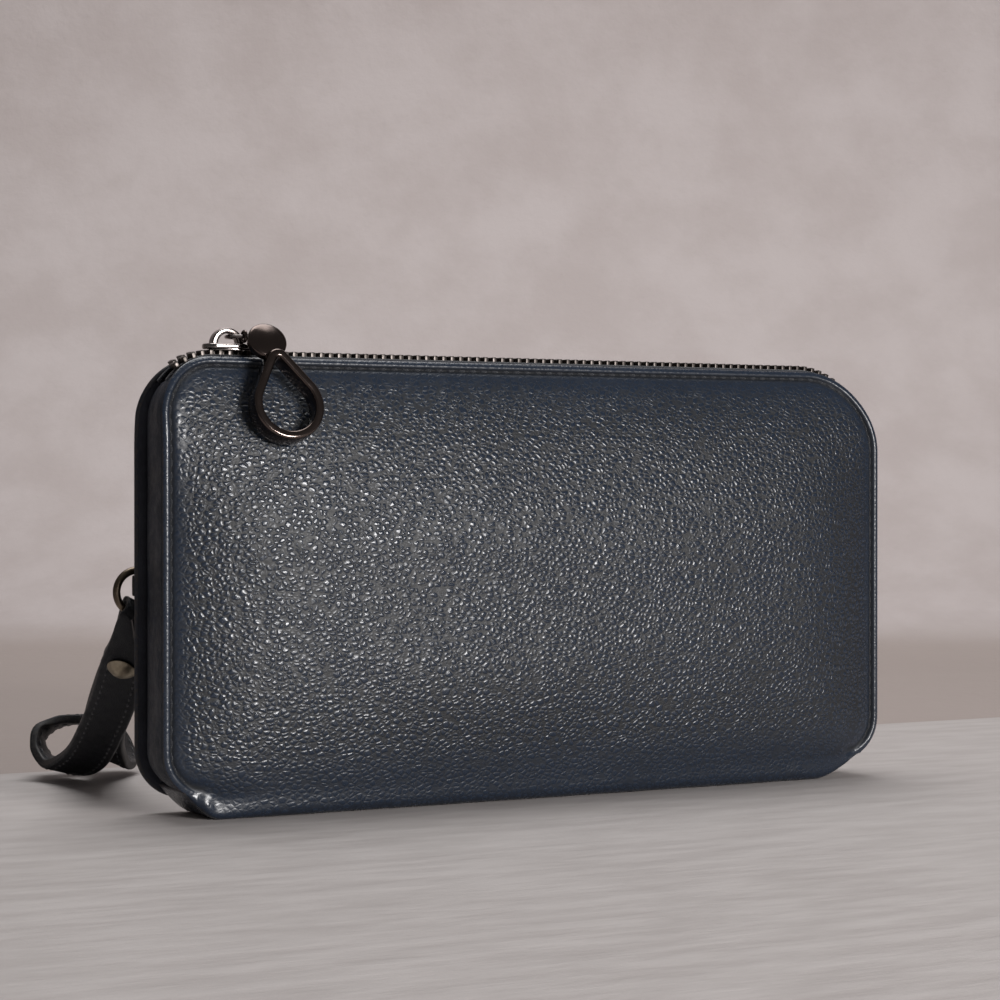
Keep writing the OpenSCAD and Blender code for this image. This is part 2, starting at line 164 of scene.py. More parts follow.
def node(tree, kind, inputs=None, **settings):
    """A shader node; inputs are sockets to link or values to set."""
    made = tree.nodes.new(kind)
    for key, value in settings.items():
        setattr(made, key, value)
    for key, value in (inputs or {}).items():
        if isinstance(value, bpy.types.NodeSocket):
            tree.links.new(value, made.inputs[key])
        else:
            made.inputs[key].default_value = value
    return made


def material(name, **shader_values):
    """(material, its node tree, its shader) with constants set on the shader's own sockets."""
    mat = bpy.data.materials.new(name)
    mat.use_nodes = True
    shader = mat.node_tree.nodes["Principled BSDF"]
    for key, value in shader_values.items():
        shader.inputs[key.replace("_", " ")].default_value = value
    return mat, mat.node_tree, shader


def place(tree):
    """The point on the piece at rest, in millimetres, as stored on its mesh."""
    return node(tree, "ShaderNodeAttribute", attribute_name="rest").outputs["Vector"]


def scenery_place(tree):
    """A point on the table or backdrop, in millimetres."""
    where = node(tree, "ShaderNodeTexCoord").outputs["Object"]
    return node(tree, "ShaderNodeVectorMath", {0: where, "Scale": 1 / MM}, operation="SCALE").outputs[0]


def maths(tree, operation, a, b=0.0, c=0.0):
    return node(tree, "ShaderNodeMath", {0: a, 1: b, 2: c}, operation=operation).outputs[0]


def ramp(tree, value, start, end, a=0.0, b=1.0):
    """value from start to end becomes a to b, smoothly."""
    inputs = {0: value, 1: start, 2: end, 3: a, 4: b}
    return node(tree, "ShaderNodeMapRange", inputs, interpolation_type="SMOOTHSTEP").outputs[0]


def mix(tree, share, a, b):
    return node(tree, "ShaderNodeMix", {0: share, 6: a, 7: b}, data_type="RGBA").outputs[2]


def noise_of(tree, where, size, detail=3.0, roughness=0.55):
    """Noise from 0 to 1 with blobs of about that size in millimetres."""
    inputs = {"Vector": where, "Scale": 1 / size, "Detail": detail, "Roughness": roughness}
    return node(tree, "ShaderNodeTexNoise", inputs).outputs["Fac"]


def cells_of(tree, where, size, feature="DISTANCE_TO_EDGE", randomness=1.0):
    """Distance to the edge, or to the centre (F1), of cells of that size in millimetres."""
    inputs = {"Vector": where, "Scale": 1 / size, "Randomness": randomness}
    return node(tree, "ShaderNodeTexVoronoi", inputs, feature=feature).outputs["Distance"]


def bump(tree, shader, height, depth):
    """Bump of that depth in millimetres."""
    made = node(tree, "ShaderNodeBump", {"Height": height, "Distance": depth * MM, "Strength": 1.0})
    tree.links.new(made.outputs["Normal"], shader.inputs["Normal"])


def shade(tree, shader, color=None, roughness=None):
    if color is not None:
        tree.links.new(color, shader.inputs["Base Color"])
    if roughness is not None:
        tree.links.new(roughness, shader.inputs["Roughness"])


def tint(color, factor):
    return (color[0] * factor, color[1] * factor, color[2] * factor, 1.0)


def pebbled_leather(name, color, cell, depth):
    """Soft cowhide: domed pebbles with fine creases between, fading where the attribute grain is low; painted shade
    darkens the creases and the seam grooves.
    """
    mat, tree, shader = material(name, Specular_IOR_Level=0.6)
    rest = place(tree)
    grain = node(tree, "ShaderNodeAttribute", attribute_name="grain").outputs["Fac"]
    # pebbles run a little longer down to the right
    where = node(
        tree, "ShaderNodeMapping", {"Vector": rest, "Rotation": (0, math.radians(35), 0), "Scale": (0.86, 1, 1.12)}
    ).outputs[0]
    warp = node(
        tree, "ShaderNodeTexNoise", {"Vector": where, "Scale": 0.42, "Detail": 2.0}
    ).outputs["Color"]
    shift = node(tree, "ShaderNodeVectorMath", {0: warp, 1: (0.5, 0.5, 0.5)}, operation="SUBTRACT")
    shift = node(tree, "ShaderNodeVectorMath", {0: shift.outputs[0], "Scale": 1.3}, operation="SCALE")
    moved = node(tree, "ShaderNodeVectorMath", {0: where, 1: shift.outputs[0]}).outputs[0]
    edge = cells_of(tree, moved, cell, randomness=0.9)
    centre = cells_of(tree, moved, cell, "F1", 0.9)
    fine = cells_of(tree, moved, cell / 2.3)
    pebble = ramp(tree, edge, 0.0, 0.34)
    dome = ramp(tree, centre, 0.0, 0.8, 1.0, 0.0)
    small = ramp(tree, fine, 0.0, 0.25)
    height = maths(tree, "MULTIPLY", pebble, 0.6)
    height = maths(tree, "MULTIPLY_ADD", dome, 0.42, height)
    height = maths(tree, "MULTIPLY_ADD", small, 0.07, height)
    height = maths(tree, "MULTIPLY_ADD", noise_of(tree, where, 0.8, 3.0), 0.1, height)
    height = maths(tree, "MULTIPLY", height, grain)
    bump(tree, shader, height, depth)
    crease = maths(tree, "MULTIPLY", ramp(tree, edge, 0.02, 0.22, 1.0, 0.0), grain)
    cloudy = ramp(tree, noise_of(tree, where, 30.0, 2.0), 0.3, 0.7)
    base = mix(tree, cloudy, tint(color, 0.94), tint(color, 1.06))
    # painted shade: the creases between the pebbles are darkened nearly to black
    base = mix(tree, crease, base, tint(color, 0.12))
    seam = node(tree, "ShaderNodeAttribute", attribute_name="seam").outputs["Fac"]
    # painted shade: the leather is darkened along the seams' groove
    base = mix(tree, seam, base, tint(color, 0.12))
    worn = ramp(tree, noise_of(tree, where, 3.0, 4.0), 0.35, 0.75, 0.0, 0.05)
    sheen = maths(tree, "MULTIPLY_ADD", crease, 0.3, 0.25)
    shade(tree, shader, base, maths(tree, "MULTIPLY_ADD", seam, 0.5, maths(tree, "ADD", sheen, worn)))
    return mat


def smooth_leather(name, color, roughness=0.42, pore=0.45, depth=0.05):
    """Finer dyed leather with small pores and a satin face."""
    mat, tree, shader = material(name, Specular_IOR_Level=0.28)
    where = place(tree)
    pores = ramp(tree, cells_of(tree, where, pore), 0.0, 0.2)
    height = maths(tree, "MULTIPLY_ADD", noise_of(tree, where, 1.4), 0.9, pores)
    bump(tree, shader, height, depth)
    cloudy = noise_of(tree, where, 9.0)
    base = mix(tree, ramp(tree, cloudy, 0.3, 0.7), tint(color, 0.8), tint(color, 1.2))
    shade(tree, shader, base, ramp(tree, noise_of(tree, where, 2.5), 0.3, 0.7, roughness - 0.06, roughness + 0.1))
    return mat


def painted_edge(name, color, worn_color):
    """Edge paint over a cut leather edge, rubbed through in places."""
    mat, tree, shader = material(name, Specular_IOR_Level=0.45)
    where = place(tree)
    streaks = noise_of(tree, where, 0.9, 5.0, 0.7)
    base = mix(tree, ramp(tree, streaks, 0.42, 0.62), tint(color, 1.0), tint(worn_color, 1.0))
    bump(tree, shader, streaks, 0.08)
    shade(tree, shader, base, ramp(tree, streaks, 0.3, 0.7, 0.42, 0.62))
    return mat


def metal(name, color, roughness, tarnish, speck=1.6):
    """Plated metal with faint smears and tiny scratches."""
    mat, tree, shader = material(name, Metallic=1.0)
    where = place(tree)
    smear = noise_of(tree, where, speck, 4.0)
    base = mix(tree, ramp(tree, smear, 0.35, 0.7), tint(color, 1.0), tint(tarnish, 1.0))
    shade(tree, shader, base, ramp(tree, smear, 0.3, 0.75, roughness, roughness + 0.1))
    bump(tree, shader, noise_of(tree, where, 0.7, 5.0, 0.6), 0.006)
    return mat


def woven(name, color, thread, depth=0.08, roughness=0.75):
    """Plain weave of crossing threads, seen from any side."""
    mat, tree, shader = material(name, Sheen_Weight=0.25, Sheen_Roughness=0.5, Specular_IOR_Level=0.3)
    where = place(tree)
    parts = node(tree, "ShaderNodeSeparateXYZ", {0: where})
    turn = math.pi / thread
    waves = [
        maths(tree, "SINE", maths(tree, "MULTIPLY", parts.outputs[axis], turn)) for axis in range(3)
    ]
    along = maths(tree, "ABSOLUTE", waves[0])
    up = maths(tree, "ABSOLUTE", maths(tree, "ADD", waves[1], waves[2]))
    over = maths(tree, "MULTIPLY", waves[0], maths(tree, "ADD", waves[1], waves[2]))
    height = maths(tree, "ADD", maths(tree, "MULTIPLY", along, up), maths(tree, "MULTIPLY", over, 0.5))
    bump(tree, shader, height, depth)
    shadow = ramp(tree, height, -0.2, 0.8)
    cloudy = ramp(tree, noise_of(tree, where, 7.0), 0.3, 0.7, 0.85, 1.1)
    base = mix(tree, shadow, tint(color, 0.55), tint(color, 1.1))
    base = mix(tree, maths(tree, "SUBTRACT", cloudy, 0.85), base, tint(color, 1.4))
    shade(tree, shader, base, ramp(tree, height, -0.3, 1.0, roughness + 0.1, roughness))
    return mat


def foam_material(name, color):
    mat, tree, shader = material(name, Specular_IOR_Level=0.2)
    where = place(tree)
    holes = cells_of(tree, where, 0.6, "F1")
    bump(tree, shader, holes, 0.25)
    # painted shade: each hole is darker towards its bottom
    base = mix(tree, ramp(tree, holes, 0.1, 0.6), tint(color, 0.75), tint(color, 1.0))
    shade(tree, shader, base, ramp(tree, holes, 0.1, 0.6, 0.8, 0.95))
    return mat


NAVY = (0.0102, 0.0168, 0.0302)
leather = pebbled_leather("pebbled_leather", NAVY, 1.28, 0.15)
gusset_leather = smooth_leather("smooth_leather", (0.0075, 0.0135, 0.025), 0.42)
strap_leather = smooth_leather("strap_leather", (0.0055, 0.0065, 0.0095), 0.45)
slot_leather = smooth_leather("slot_leather", (0.022, 0.027, 0.045), 0.5)
suede = smooth_leather("leather_back", (0.035, 0.038, 0.05), 0.85, 0.3, 0.12)
edge_paint = painted_edge("edge_paint", (0.014, 0.018, 0.029), (0.04, 0.033, 0.032))
strap_edge = painted_edge("strap_edge", (0.012, 0.012, 0.015), (0.04, 0.035, 0.032))
thread = woven("thread", (0.006, 0.008, 0.014), 0.16, 0.05, 0.4)
zip_metal = metal("zip_metal", (0.085, 0.075, 0.07), 0.33, (0.05, 0.044, 0.04))
gunmetal = metal("gunmetal", (0.3, 0.27, 0.26), 0.12, (0.18, 0.155, 0.145), speck=5.0)
dark_metal = metal("dark_metal", (0.12, 0.094, 0.084), 0.12, (0.085, 0.066, 0.06), speck=5.0)
bronze = metal("antique_bronze", (0.17, 0.135, 0.1), 0.32, (0.09, 0.07, 0.052), speck=2.2)
rivet_metal = metal("rivet_bronze", (0.36, 0.31, 0.23), 0.38, (0.2, 0.165, 0.12), speck=2.2)
zip_cloth = woven("zip_tape", (0.009, 0.011, 0.017), 0.5)
lining = woven("lining_cloth", (0.12, 0.09, 0.062), 0.4)
board = foam_material("board", (0.45, 0.42, 0.36))
foam = foam_material("padding", (0.62, 0.6, 0.54))

# ---------------------------------------------------------------- mesh helpers


def clamp(value, least=0.0, most=1.0):
    return max(least, min(most, value))


def smooth(t):
    t = clamp(t)
    return t * t * (3 - 2 * t)


def add_mesh(name, points, faces, materials, slots=None):
    """A mesh object from points in millimetres, with its rest place stored for the materials."""
    points = np.asarray(points, float).reshape(-1, 3)
    mesh = bpy.data.meshes.new(name)
    mesh.from_pydata((points * MM).tolist(), [], faces)
    for mat in materials if isinstance(materials, (list, tuple)) else [materials]:
        mesh.materials.append(mat)
    if slots is not None:
        mesh.polygons.foreach_set("material_index", slots)
    mesh.polygons.foreach_set("use_smooth", [True] * len(mesh.polygons))
    work = bmesh.new()
    work.from_mesh(mesh)
    bmesh.ops.recalc_face_normals(work, faces=work.faces)
    work.to_mesh(mesh)
    work.free()
    rest = mesh.attributes.new("rest", "FLOAT_VECTOR", "POINT")
    rest.data.foreach_set("vector", points.astype(np.float32).ravel())
    made = bpy.data.objects.new(name, mesh)
    bpy.context.scene.collection.objects.link(made)
    return made


def set_leather(obj, grain, seam):
    """Stores the grain's strength and the seams' groove, which the leather darkens with painted shade; the sheet's
    back and rim have little grain and no groove.
    """
    for name, rows, rest in (("grain", grain, 0.2), ("seam", seam, 0.0)):
        values = np.full(len(obj.data.vertices), rest, np.float32)
        flat = np.array(rows).ravel()
        values[: len(flat)] = flat
        obj.data.attributes.new(name, "FLOAT", "POINT").data.foreach_set("value", values)


def quads(rows, cols, first=0):
    return [
        (first + r * cols + c, first + r * cols + c + 1, first + (r + 1) * cols + c + 1, first + (r + 1) * cols + c)
        for r in range(rows - 1)
        for c in range(cols - 1)
    ]


def plane(rows, cols, at):
    """Rows of points, at(u, v), with u along a row and v down the rows, both from 0 to 1."""
    return [[at(k / cols, i / rows) for k in range(cols + 1)] for i in range(rows + 1)]


def between(ends, share):
    return ends[0] + (ends[1] - ends[0]) * share


def grid_normals(grid, towards):
    """Unit normals of a grid of points, on the side where they point along towards at its middle."""
    normals = np.cross(np.gradient(grid, axis=1), np.gradient(grid, axis=0))
    normals /= np.maximum(np.linalg.norm(normals, axis=2, keepdims=True), 1e-9)
    middle = normals[grid.shape[0] // 3, grid.shape[1] // 2]
    return normals if np.dot(middle, towards) > 0 else -normals


def grid_border(rows, cols):
    """(row, column) of each point round a grid's border, in order."""
    border = [(0, c) for c in range(cols)] + [(r, cols - 1) for r in range(1, rows)]
    return border + [(rows - 1, c) for c in range(cols - 2, -1, -1)] + [(r, 0) for r in range(rows - 2, 0, -1)]


def thick_sheet(name, grid, thickness, materials, towards):
    """A closed sheet: face grid, back grid along the normals, and a rounded rim. Materials: face, rim, back."""
    grid = np.asarray(grid, float)
    rows, cols = grid.shape[:2]
    back = grid - grid_normals(grid, towards) * thickness
    border = grid_border(rows, cols)
    inside = [(int(clamp(r, 1, rows - 2)), int(clamp(c, 1, cols - 2))) for r, c in border]
    face_edge = np.array([grid[at] for at in border])
    back_edge = np.array([back[at] for at in border])
    out = face_edge - np.array([grid[at] for at in inside])
    out /= np.linalg.norm(out, axis=1, keepdims=True)
    points = [grid.reshape(-1, 3), back.reshape(-1, 3)]
    count = rows * cols
    rings = [[r * cols + c for r, c in border]]
    for share, bulge in ((0.15, 0.7), (0.5, 1.0), (0.85, 0.7)):
        first = sum(len(p) for p in points)
        points.append(face_edge + (back_edge - face_edge) * share + out * bulge * RIM_BULGE * thickness)
        rings.append(list(range(first, first + len(border))))
    rings.append([count + r * cols + c for r, c in border])
    faces = quads(rows, cols) + quads(rows, cols, count)
    slots = [0] * ((rows - 1) * (cols - 1)) + [2] * ((rows - 1) * (cols - 1))
    for a, b in zip(rings, rings[1:]):
        for i in range(len(border)):
            j = (i + 1) % len(border)
            faces.append((a[i], a[j], b[j], b[i]))
            slots.append(1)
    return add_mesh(name, np.concatenate(points), faces, materials, slots)


def arc(cx, cy, rx, ry, start, turn, steps):
    """Points on an arc about (cx, cy) that starts at an angle and turns through another, in degrees."""
    angles = [math.radians(start + turn * k / steps) for k in range(steps + 1)]
    return [(cx + rx * math.cos(angle), cy + ry * math.sin(angle)) for angle in angles]


def rounded(w, t, r, crown=0.0, steps=3):
    """Rounded rectangle section, half width w and half thickness t, with crowned long faces."""
    points = []
    for cx, cy, start in ((w - r, t - r, 0), (r - w, t - r, 90), (r - w, r - t, 180), (w - r, r - t, 270)):
        points += arc(cx, cy, r, r, start, 90, steps)
        if start in (0, 180):
            sign = 1 if start == 0 else -1
            for share in (0.6, 0.2, -0.2, -0.6):
                points.append((sign * share * (w - r), sign * (t + crown * (1 - share * share))))
    return points


def tube_faces(count, sides, closed=False):
    """Faces that join that many rings, with flat ends where the tube is not closed."""
    faces = []
    for i in range(count if closed else count - 1):
        j = (i + 1) % count
        for k in range(sides):
            after = (k + 1) % sides
            faces.append((i * sides + k, i * sides + after, j * sides + after, j * sides + k))
    if not closed:
        faces += [tuple(range(sides)), tuple((count - 1) * sides + k for k in range(sides))]
    return faces


def sweep(name, rings, materials, closed=False, slots=None):
    """Joins rings of points, with flat ends where it is not closed. slots gives each section side's material."""
    rings = np.asarray(rings, float)
    count, sides = rings.shape[:2]
    faces = tube_faces(count, sides, closed)
    used = list(slots) * count if slots else [0] * len(faces)
    return add_mesh(name, rings.reshape(-1, 3), faces, materials, used)


def ring_at(centre, across, out, section):
    return [list(centre + across * a + out * b) for a, b in section]


def circle(r, n):
    return [(r * math.cos(2 * math.pi * k / n), r * math.sin(2 * math.pi * k / n)) for k in range(n)]


def wire(name, path, r, materials, closed=False, sides=16, up=(0, 1, 0)):
    """Round wire along a path that lies about square to up."""
    path = [Vector(p) for p in path]
    n = len(path)
    rings = []
    for i, p in enumerate(path):
        before = path[(i - 1) % n] if closed or i else p
        after = path[(i + 1) % n] if closed or i < n - 1 else p
        along = (after - before).normalized()
        across = along.cross(Vector(up)).normalized()
        rings.append(ring_at(p, across, along.cross(across), circle(r, sides)))
    return sweep(name, rings, materials, closed)


def lathe(name, profile, at, axis, materials, sides=64):
    """Turns a profile of (radius, height) about an axis through at."""
    turn = Vector(axis).normalized().to_track_quat("Z", "Y").to_matrix()
    points = [list(Vector(at) + turn @ Vector((x, y, h))) for r, h in profile for x, y in circle(r, sides)]
    return add_mesh(name, points, tube_faces(len(profile), sides), materials)


def stamp(name, template, places, materials):
    """Copies of one template (points, faces) at places (origin, 3x3 matrix), as one mesh."""
    base, base_faces = np.asarray(template[0], float), template[1]
    points, faces = [], []
    for i, (origin, turn) in enumerate(places):
        points.append(base @ np.asarray(turn).T + np.asarray(origin))
        faces += [tuple(i * len(base) + v for v in face) for face in base_faces]
    return add_mesh(name, np.concatenate(points), faces, materials)


def stitch_shape(length, r, sides=6):
    """One thread stitch that lies along X and dips into the leather at its ends."""
    points = []
    stations = ((-0.5, 0.35), (-0.42, 0.8), (-0.22, 1.0), (0.0, 1.0), (0.22, 1.0), (0.42, 0.8), (0.5, 0.35))
    for x, size in stations:
        dip = 0.22 * r - abs(2 * x) ** 3 * r * 1.1
        points += [(x * length, y, z * 0.8 + dip) for y, z in circle(r * size, sides)]
    return points, tube_faces(len(stations), sides)


def take_shape(work):
    """(points, faces) of a bmesh, which is freed. Both are sorted: a bevel's own order varies from run to run."""
    verts = sorted(work.verts, key=lambda v: tuple(round(c, 5) for c in v.co))
    number = {v: i for i, v in enumerate(verts)}
    shape = [tuple(v.co) for v in verts], sorted((tuple(number[v] for v in f.verts) for f in work.faces), key=sorted)
    work.free()
    return shape


def box_shape(x, y, z, bevel):
    """A bevelled box centred on the origin, as (points, faces)."""
    work = bmesh.new()
    bmesh.ops.create_cube(work, size=1, matrix=Matrix.Diagonal((x, y, z, 1)))
    bmesh.ops.bevel(work, geom=work.edges[:], offset=bevel, segments=2, affect="EDGES", profile=0.6)
    return take_shape(work)


def frame_of(along, out):
    """3x3 matrix whose columns are along, out x along and out."""
    along, out = Vector(along).normalized(), Vector(out)
    side = out.cross(along).normalized()
    out = along.cross(side).normalized()
    return np.array([along, side, out]).T


def stitches(name, path, outward, pitch=STITCH_PITCH, length=STITCH_L, r=0.36, lift=0.0):
    """A row of stitches along a dense path; outward(point) gives the surface's normal there."""
    path = [Vector(p) for p in path]
    spots, travelled, due = [], 0.0, pitch / 2
    for a, b in zip(path, path[1:]):
        step = (b - a).length
        while step > 0 and travelled + step >= due:
            p = a.lerp(b, (due - travelled) / step)
            n = Vector(outward(p)).normalized()
            spots.append((list(p + n * lift), frame_of(b - a, n)))
            due += pitch
        travelled += step
    return stamp(name, stitch_shape(length, r), spots, thread)


def ease(table, t):
    """Smooth interpolation in a list of (position, value)."""
    for (t0, v0), (t1, v1) in zip(table, table[1:]):
        if t <= t1:
            return v0 + (v1 - v0) * smooth((t - t0) / (t1 - t0))
    return table[-1][1]


def finish_piece(obj, body, nodes=()):
    """Rides the piece on its body and hides the CAD nodes it replaces."""
    if body:
        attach(obj, body)
    if nodes:
        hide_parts(*nodes)
    return obj


# ---------------------------------------------------------------- panel surfaces


def top_r(x):
    """Radius of the top corner on x's side."""
    return LEFT_R if x < 0 else TOP_R


def edge_depth(z):
    """Distance of a panel's edge from the middle plane; the panels lean in towards the zip."""
    return EDGE_Y - 4.6 * clamp((z - PANEL_H + 20.6) / 20.6) ** 2


class Panel:
    """One padded leather face of the wallet: side is -1 for the front and +1 for the back."""

    def __init__(self, side, swell, low_z, low_r, round_low):
        self.side, self.swell = side, swell
        self.low_z, self.low_r, self.round_low = low_z, low_r, round_low
        self.slim = 0.35 if round_low else 0.0
        self.low_cx, self.low_cz = HALF_W - low_r, (low_z + low_r) if round_low else FOOT_CZ

    def half_width(self, z, x):
        r = top_r(x)
        if z > PANEL_H - r:
            return HALF_W - r + math.sqrt(max(0.0, r * r - (z - PANEL_H + r) ** 2))
        if z < self.low_cz:
            return self.low_cx + math.sqrt(max(0.0, self.low_r**2 - (self.low_cz - z) ** 2))
        return HALF_W

    def edge_distance(self, x, z):
        """Distance inward from the panel's outline."""
        x, r = abs(x), top_r(x)
        if x > HALF_W - r and z > PANEL_H - r:
            return r - math.hypot(x - HALF_W + r, z - PANEL_H + r)
        if x > self.low_cx and z < self.low_cz:
            return self.low_r - math.hypot(x - self.low_cx, z - self.low_cz)
        inside = min(HALF_W - x, PANEL_H - z)
        return min(inside, z - self.low_z) if self.round_low else inside

    def depth(self, x, z):
        """Distance of the leather's outer face from the middle plane."""
        edge = self.edge_distance(x, z)
        flat = edge_depth(z)
        reach = 34.0 - 12.0 * (1 - smooth((z - 8) / 30))
        side = clamp((self.half_width(z, x) - abs(x) - 2.7) / reach)
        gentle = clamp((self.half_width(z, x) - abs(x) - 2.7) / 84.0)
        side = 0.56 * (1 - (1 - side) ** 2.5) + 0.44 * (1 - (1 - gentle) ** 2)
        down = clamp((PANEL_H - z - 2.4) / 44.0)
        top = math.sin(math.pi / 2 * down) ** 1.25
        if self.round_low:
            low_part = smooth((z - self.low_z - 2.0) / 26.0)
        else:
            low_part = 0.42 + 0.58 * math.sin(math.pi / 2 * clamp((z - FOOT_Z) / 32.0))
        calm = smooth((edge - 3) / 16)
        wave = noise.noise(Vector((x * 0.035, z * 0.05, 3.0 + self.side))) * 0.3 * calm
        rolled = 0.4 * math.sin(math.pi * clamp(edge / 1.8) * 0.93) ** 0.8 if edge < 1.8 else 0.0
        seam = 0.75 * math.exp(-(((edge - SEAM_IN) / 0.5) ** 2))
        if not self.round_low:
            rolled *= smooth((z - FOOT_Z) / 3.0)
        return flat + self.swell * side * top * low_part + wave + rolled - seam - self.slim

    def point(self, x, z, lift=0.0):
        return Vector((x, self.side * (self.depth(x, z) + lift), z + 0.5 * smooth((z - 94) / (PANEL_H - 94))))

    def normal(self, p):
        step = 0.6
        dx = (self.depth(p[0] + step, p[2]) - self.depth(p[0] - step, p[2])) / (2 * step)
        dz = (self.depth(p[0], p[2] + step) - self.depth(p[0], p[2] - step)) / (2 * step)
        return Vector((-dx, self.side, -dz))

    def half_seam(self, sign, inset, low_angle):
        """Seam points in X and Z from a bottom corner over its top corner to the middle."""
        low_r, r = self.low_r - inset, top_r(sign)
        path = arc(self.low_cx, self.low_cz, low_r, low_r, -low_angle, low_angle, 24)
        for k in range(1, 80):
            path.append((HALF_W - inset, self.low_cz + (PANEL_H - r - self.low_cz) * k / 80))
        path += arc(HALF_W - r, PANEL_H - r, r - inset, r - inset, 0, 90, 39)
        path += [(x, PANEL_H - inset) for x in np.linspace(HALF_W - r, 0, 80)[1:]]
        return [(sign * x, z) for x, z in path]

    def seam_path(self, inset, low_angle):
        """Points along the seam, from the bottom left corner over the top to the bottom right."""
        right = self.half_seam(1, inset, low_angle)
        whole = self.half_seam(-1, inset, low_angle) + right[-2::-1]
        return [self.point(x, z) for x, z in whole]


FRONT = Panel(-1, 9.0, 0.0, FOOT_R, False)
BACK = Panel(1, 2.5, BACK_Z, BACK_R, True)

EDGE_STEPS = [0, 0.25, 0.5, 0.8, 1.1, 1.4, 1.65, 1.85, 2.05, 2.25, 2.5, 2.9, 3.5, 4.3, 5.3, 6.6, 8.2]
from_edge = [e / HALF_W for e in EDGE_STEPS]
middle_u = list(np.linspace(1 - 9.6 / HALF_W, 0, 62))
half_u = [1 - e for e in from_edge] + middle_u
COLUMNS = [-u for u in half_u] + list(reversed(half_u[:-1]))


def panel_rows(bottom, low_steps):
    """Heights from the top edge down to bottom, close together near both ends."""
    top = [PANEL_H - e for e in EDGE_STEPS]
    low = [bottom + e for e in reversed(low_steps)]
    return top + list(np.linspace(top[-1], low[0], 62)[1:-1]) + low


def grain_at(panel, x, z):
    """The grain is pressed flat along the seams and the foot, and comes up over the padding."""
    edge = panel.edge_distance(x, z)
    raised = (0.6 + 0.4 * smooth((PANEL_H - z - 4) / 12)) * (0.45 + 0.55 * smooth((z - 7) / 12))
    return 0.22 + 0.78 * smooth((edge - 1.6) / 6.0) * raised


def groove_at(panel, x, z):
    return math.exp(-(((panel.edge_distance(x, z) - SEAM_IN) / 0.62) ** 2))


def bezier(p0, p1, p2, p3, t):
    s = 1 - t
    return p0 * s**3 + p1 * 3 * s * s * t + p2 * 3 * s * t * t + p3 * t**3


def foot_height(x):
    """Height of the wallet's underside: flat, and rising at both ends."""
    flat = 79.5 if x > 0 else 86.0
    return FOOT_Z * clamp((abs(x) - flat) / (FOOT_END - flat)) ** 1.5


def hide_rows(panel, bottom, low_steps):
    """Rows of surface points over a panel, with their grain and groove values."""
    rows, grain, seam = [], [], []
    for z in panel_rows(bottom, low_steps):
        across = [u * panel.half_width(z, u) for u in COLUMNS]
        rows.append([panel.point(x, z) for x in across])
        grain.append([grain_at(panel, x, z) for x in across])
        seam.append([groove_at(panel, x, z) for x in across])
    return rows, grain, seam


def make_front_hide():
    """Front and bottom are one hide: down the front, round under and up inside the back."""
    rows, grain, seam = hide_rows(FRONT, FOOT_Z, [0, 1.2, 2.4, 3.6, 4.8, 6.0])
    bends = []
    across = [u * FRONT.half_width(FOOT_Z, u) for u in COLUMNS]
    for x in across:
        start = FRONT.point(x, FOOT_Z)
        lean = (FRONT.depth(x, FOOT_Z + 0.8) - FRONT.depth(x, FOOT_Z)) / 0.8
        down = Vector((0, lean, -1)).normalized()
        foot = foot_height(x)
        turn = Vector((x, -FOOT_Y, foot))
        hold = 0.52 * (start - turn).length
        front_bend = [
            bezier(start, start + down * hold, turn - Vector((0, hold * 1.1, 0)), turn, t / 10)
            for t in range(1, 11)
        ]
        flat = [Vector((x, y, foot)) for y in np.linspace(-FOOT_Y, HEEL_Y, 11)[1:]]
        rise = 4.2 - 2.0 * smooth((abs(x) - 78) / 12)
        heel, top = Vector((x, HEEL_Y, foot)), Vector((x, HEEL_Y + 1.7, foot + rise))
        back_bend = [
            bezier(heel, heel + Vector((0, 1.4, 0)), top - Vector((0, 0, rise * 0.7)), top, t / 6)
            for t in range(1, 7)
        ]
        bends.append(front_bend + flat + back_bend)
    for r in range(len(bends[0])):
        rows.append([column[r] for column in bends])
        grain.append([0.5 - 0.28 * smooth((abs(x) - 70) / 16) for x in across])
        seam.append([0.0] * len(across))
    sheet = thick_sheet("front_hide", rows, LEATHER, [leather, edge_paint, suede], (0, -1, 0))
    set_leather(sheet, grain, seam)
    finish_piece(sheet, None, ("front_panel", "bottom_panel"))
    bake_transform(sheet)
    return sheet


def make_back():
    """Back panel, nearly flat, with its seam all round."""
    rows, grain, seam = hide_rows(BACK, BACK_Z, EDGE_STEPS)
    sheet = thick_sheet("back_hide", rows, LEATHER, [leather, edge_paint, suede], (0, 1, 0))
    set_leather(sheet, grain, seam)
    return finish_piece(sheet, "shell", ("back_panel",))


def make_seams():
    """Stitches round the front and the back."""
    seam = stitches("front_seam", FRONT.seam_path(SEAM_IN, 56), FRONT.normal)
    finish_piece(seam, "front")
    path = BACK.seam_path(SEAM_IN, 90)
    bottom = [BACK.point(x, BACK_Z + SEAM_IN) for x in np.linspace(BACK.low_cx, -BACK.low_cx, 160)[1:]]
    seam = stitches("back_seam", path + bottom, BACK.normal)
    finish_piece(seam, "shell")


# ---------------------------------------------------------------- gussets

GUSSET_FOLD = [(0, 0.9), (0.08, 0.45), (0.24, 0.25), (0.5, 0.5), (0.72, 1.0), (0.88, 2.3), (1.0, 3.0)]


def outline_path(side, inset, top_angle):
    """(|x|, z) of that side's outline set in by inset, as a function of arc length, and its length."""
    low_r, corner = FOOT_R - inset, top_r(side)
    low_l = low_r * math.radians(80)
    side_l = PANEL_H - corner - FOOT_CZ
    top_l = (corner - inset) * math.radians(top_angle)

    def at(s):
        if s < low_l:
            angle = math.radians(-80) + s / low_r
            return FOOT_CX + low_r * math.cos(angle), FOOT_CZ + low_r * math.sin(angle)
        if s < low_l + side_l:
            return HALF_W - inset, FOOT_CZ + s - low_l
        angle = (s - low_l - side_l) / (corner - inset)
        x = HALF_W - corner + (corner - inset) * math.cos(angle)
        return x, PANEL_H - corner + (corner - inset) * math.sin(angle)

    return at, low_l + side_l + top_l


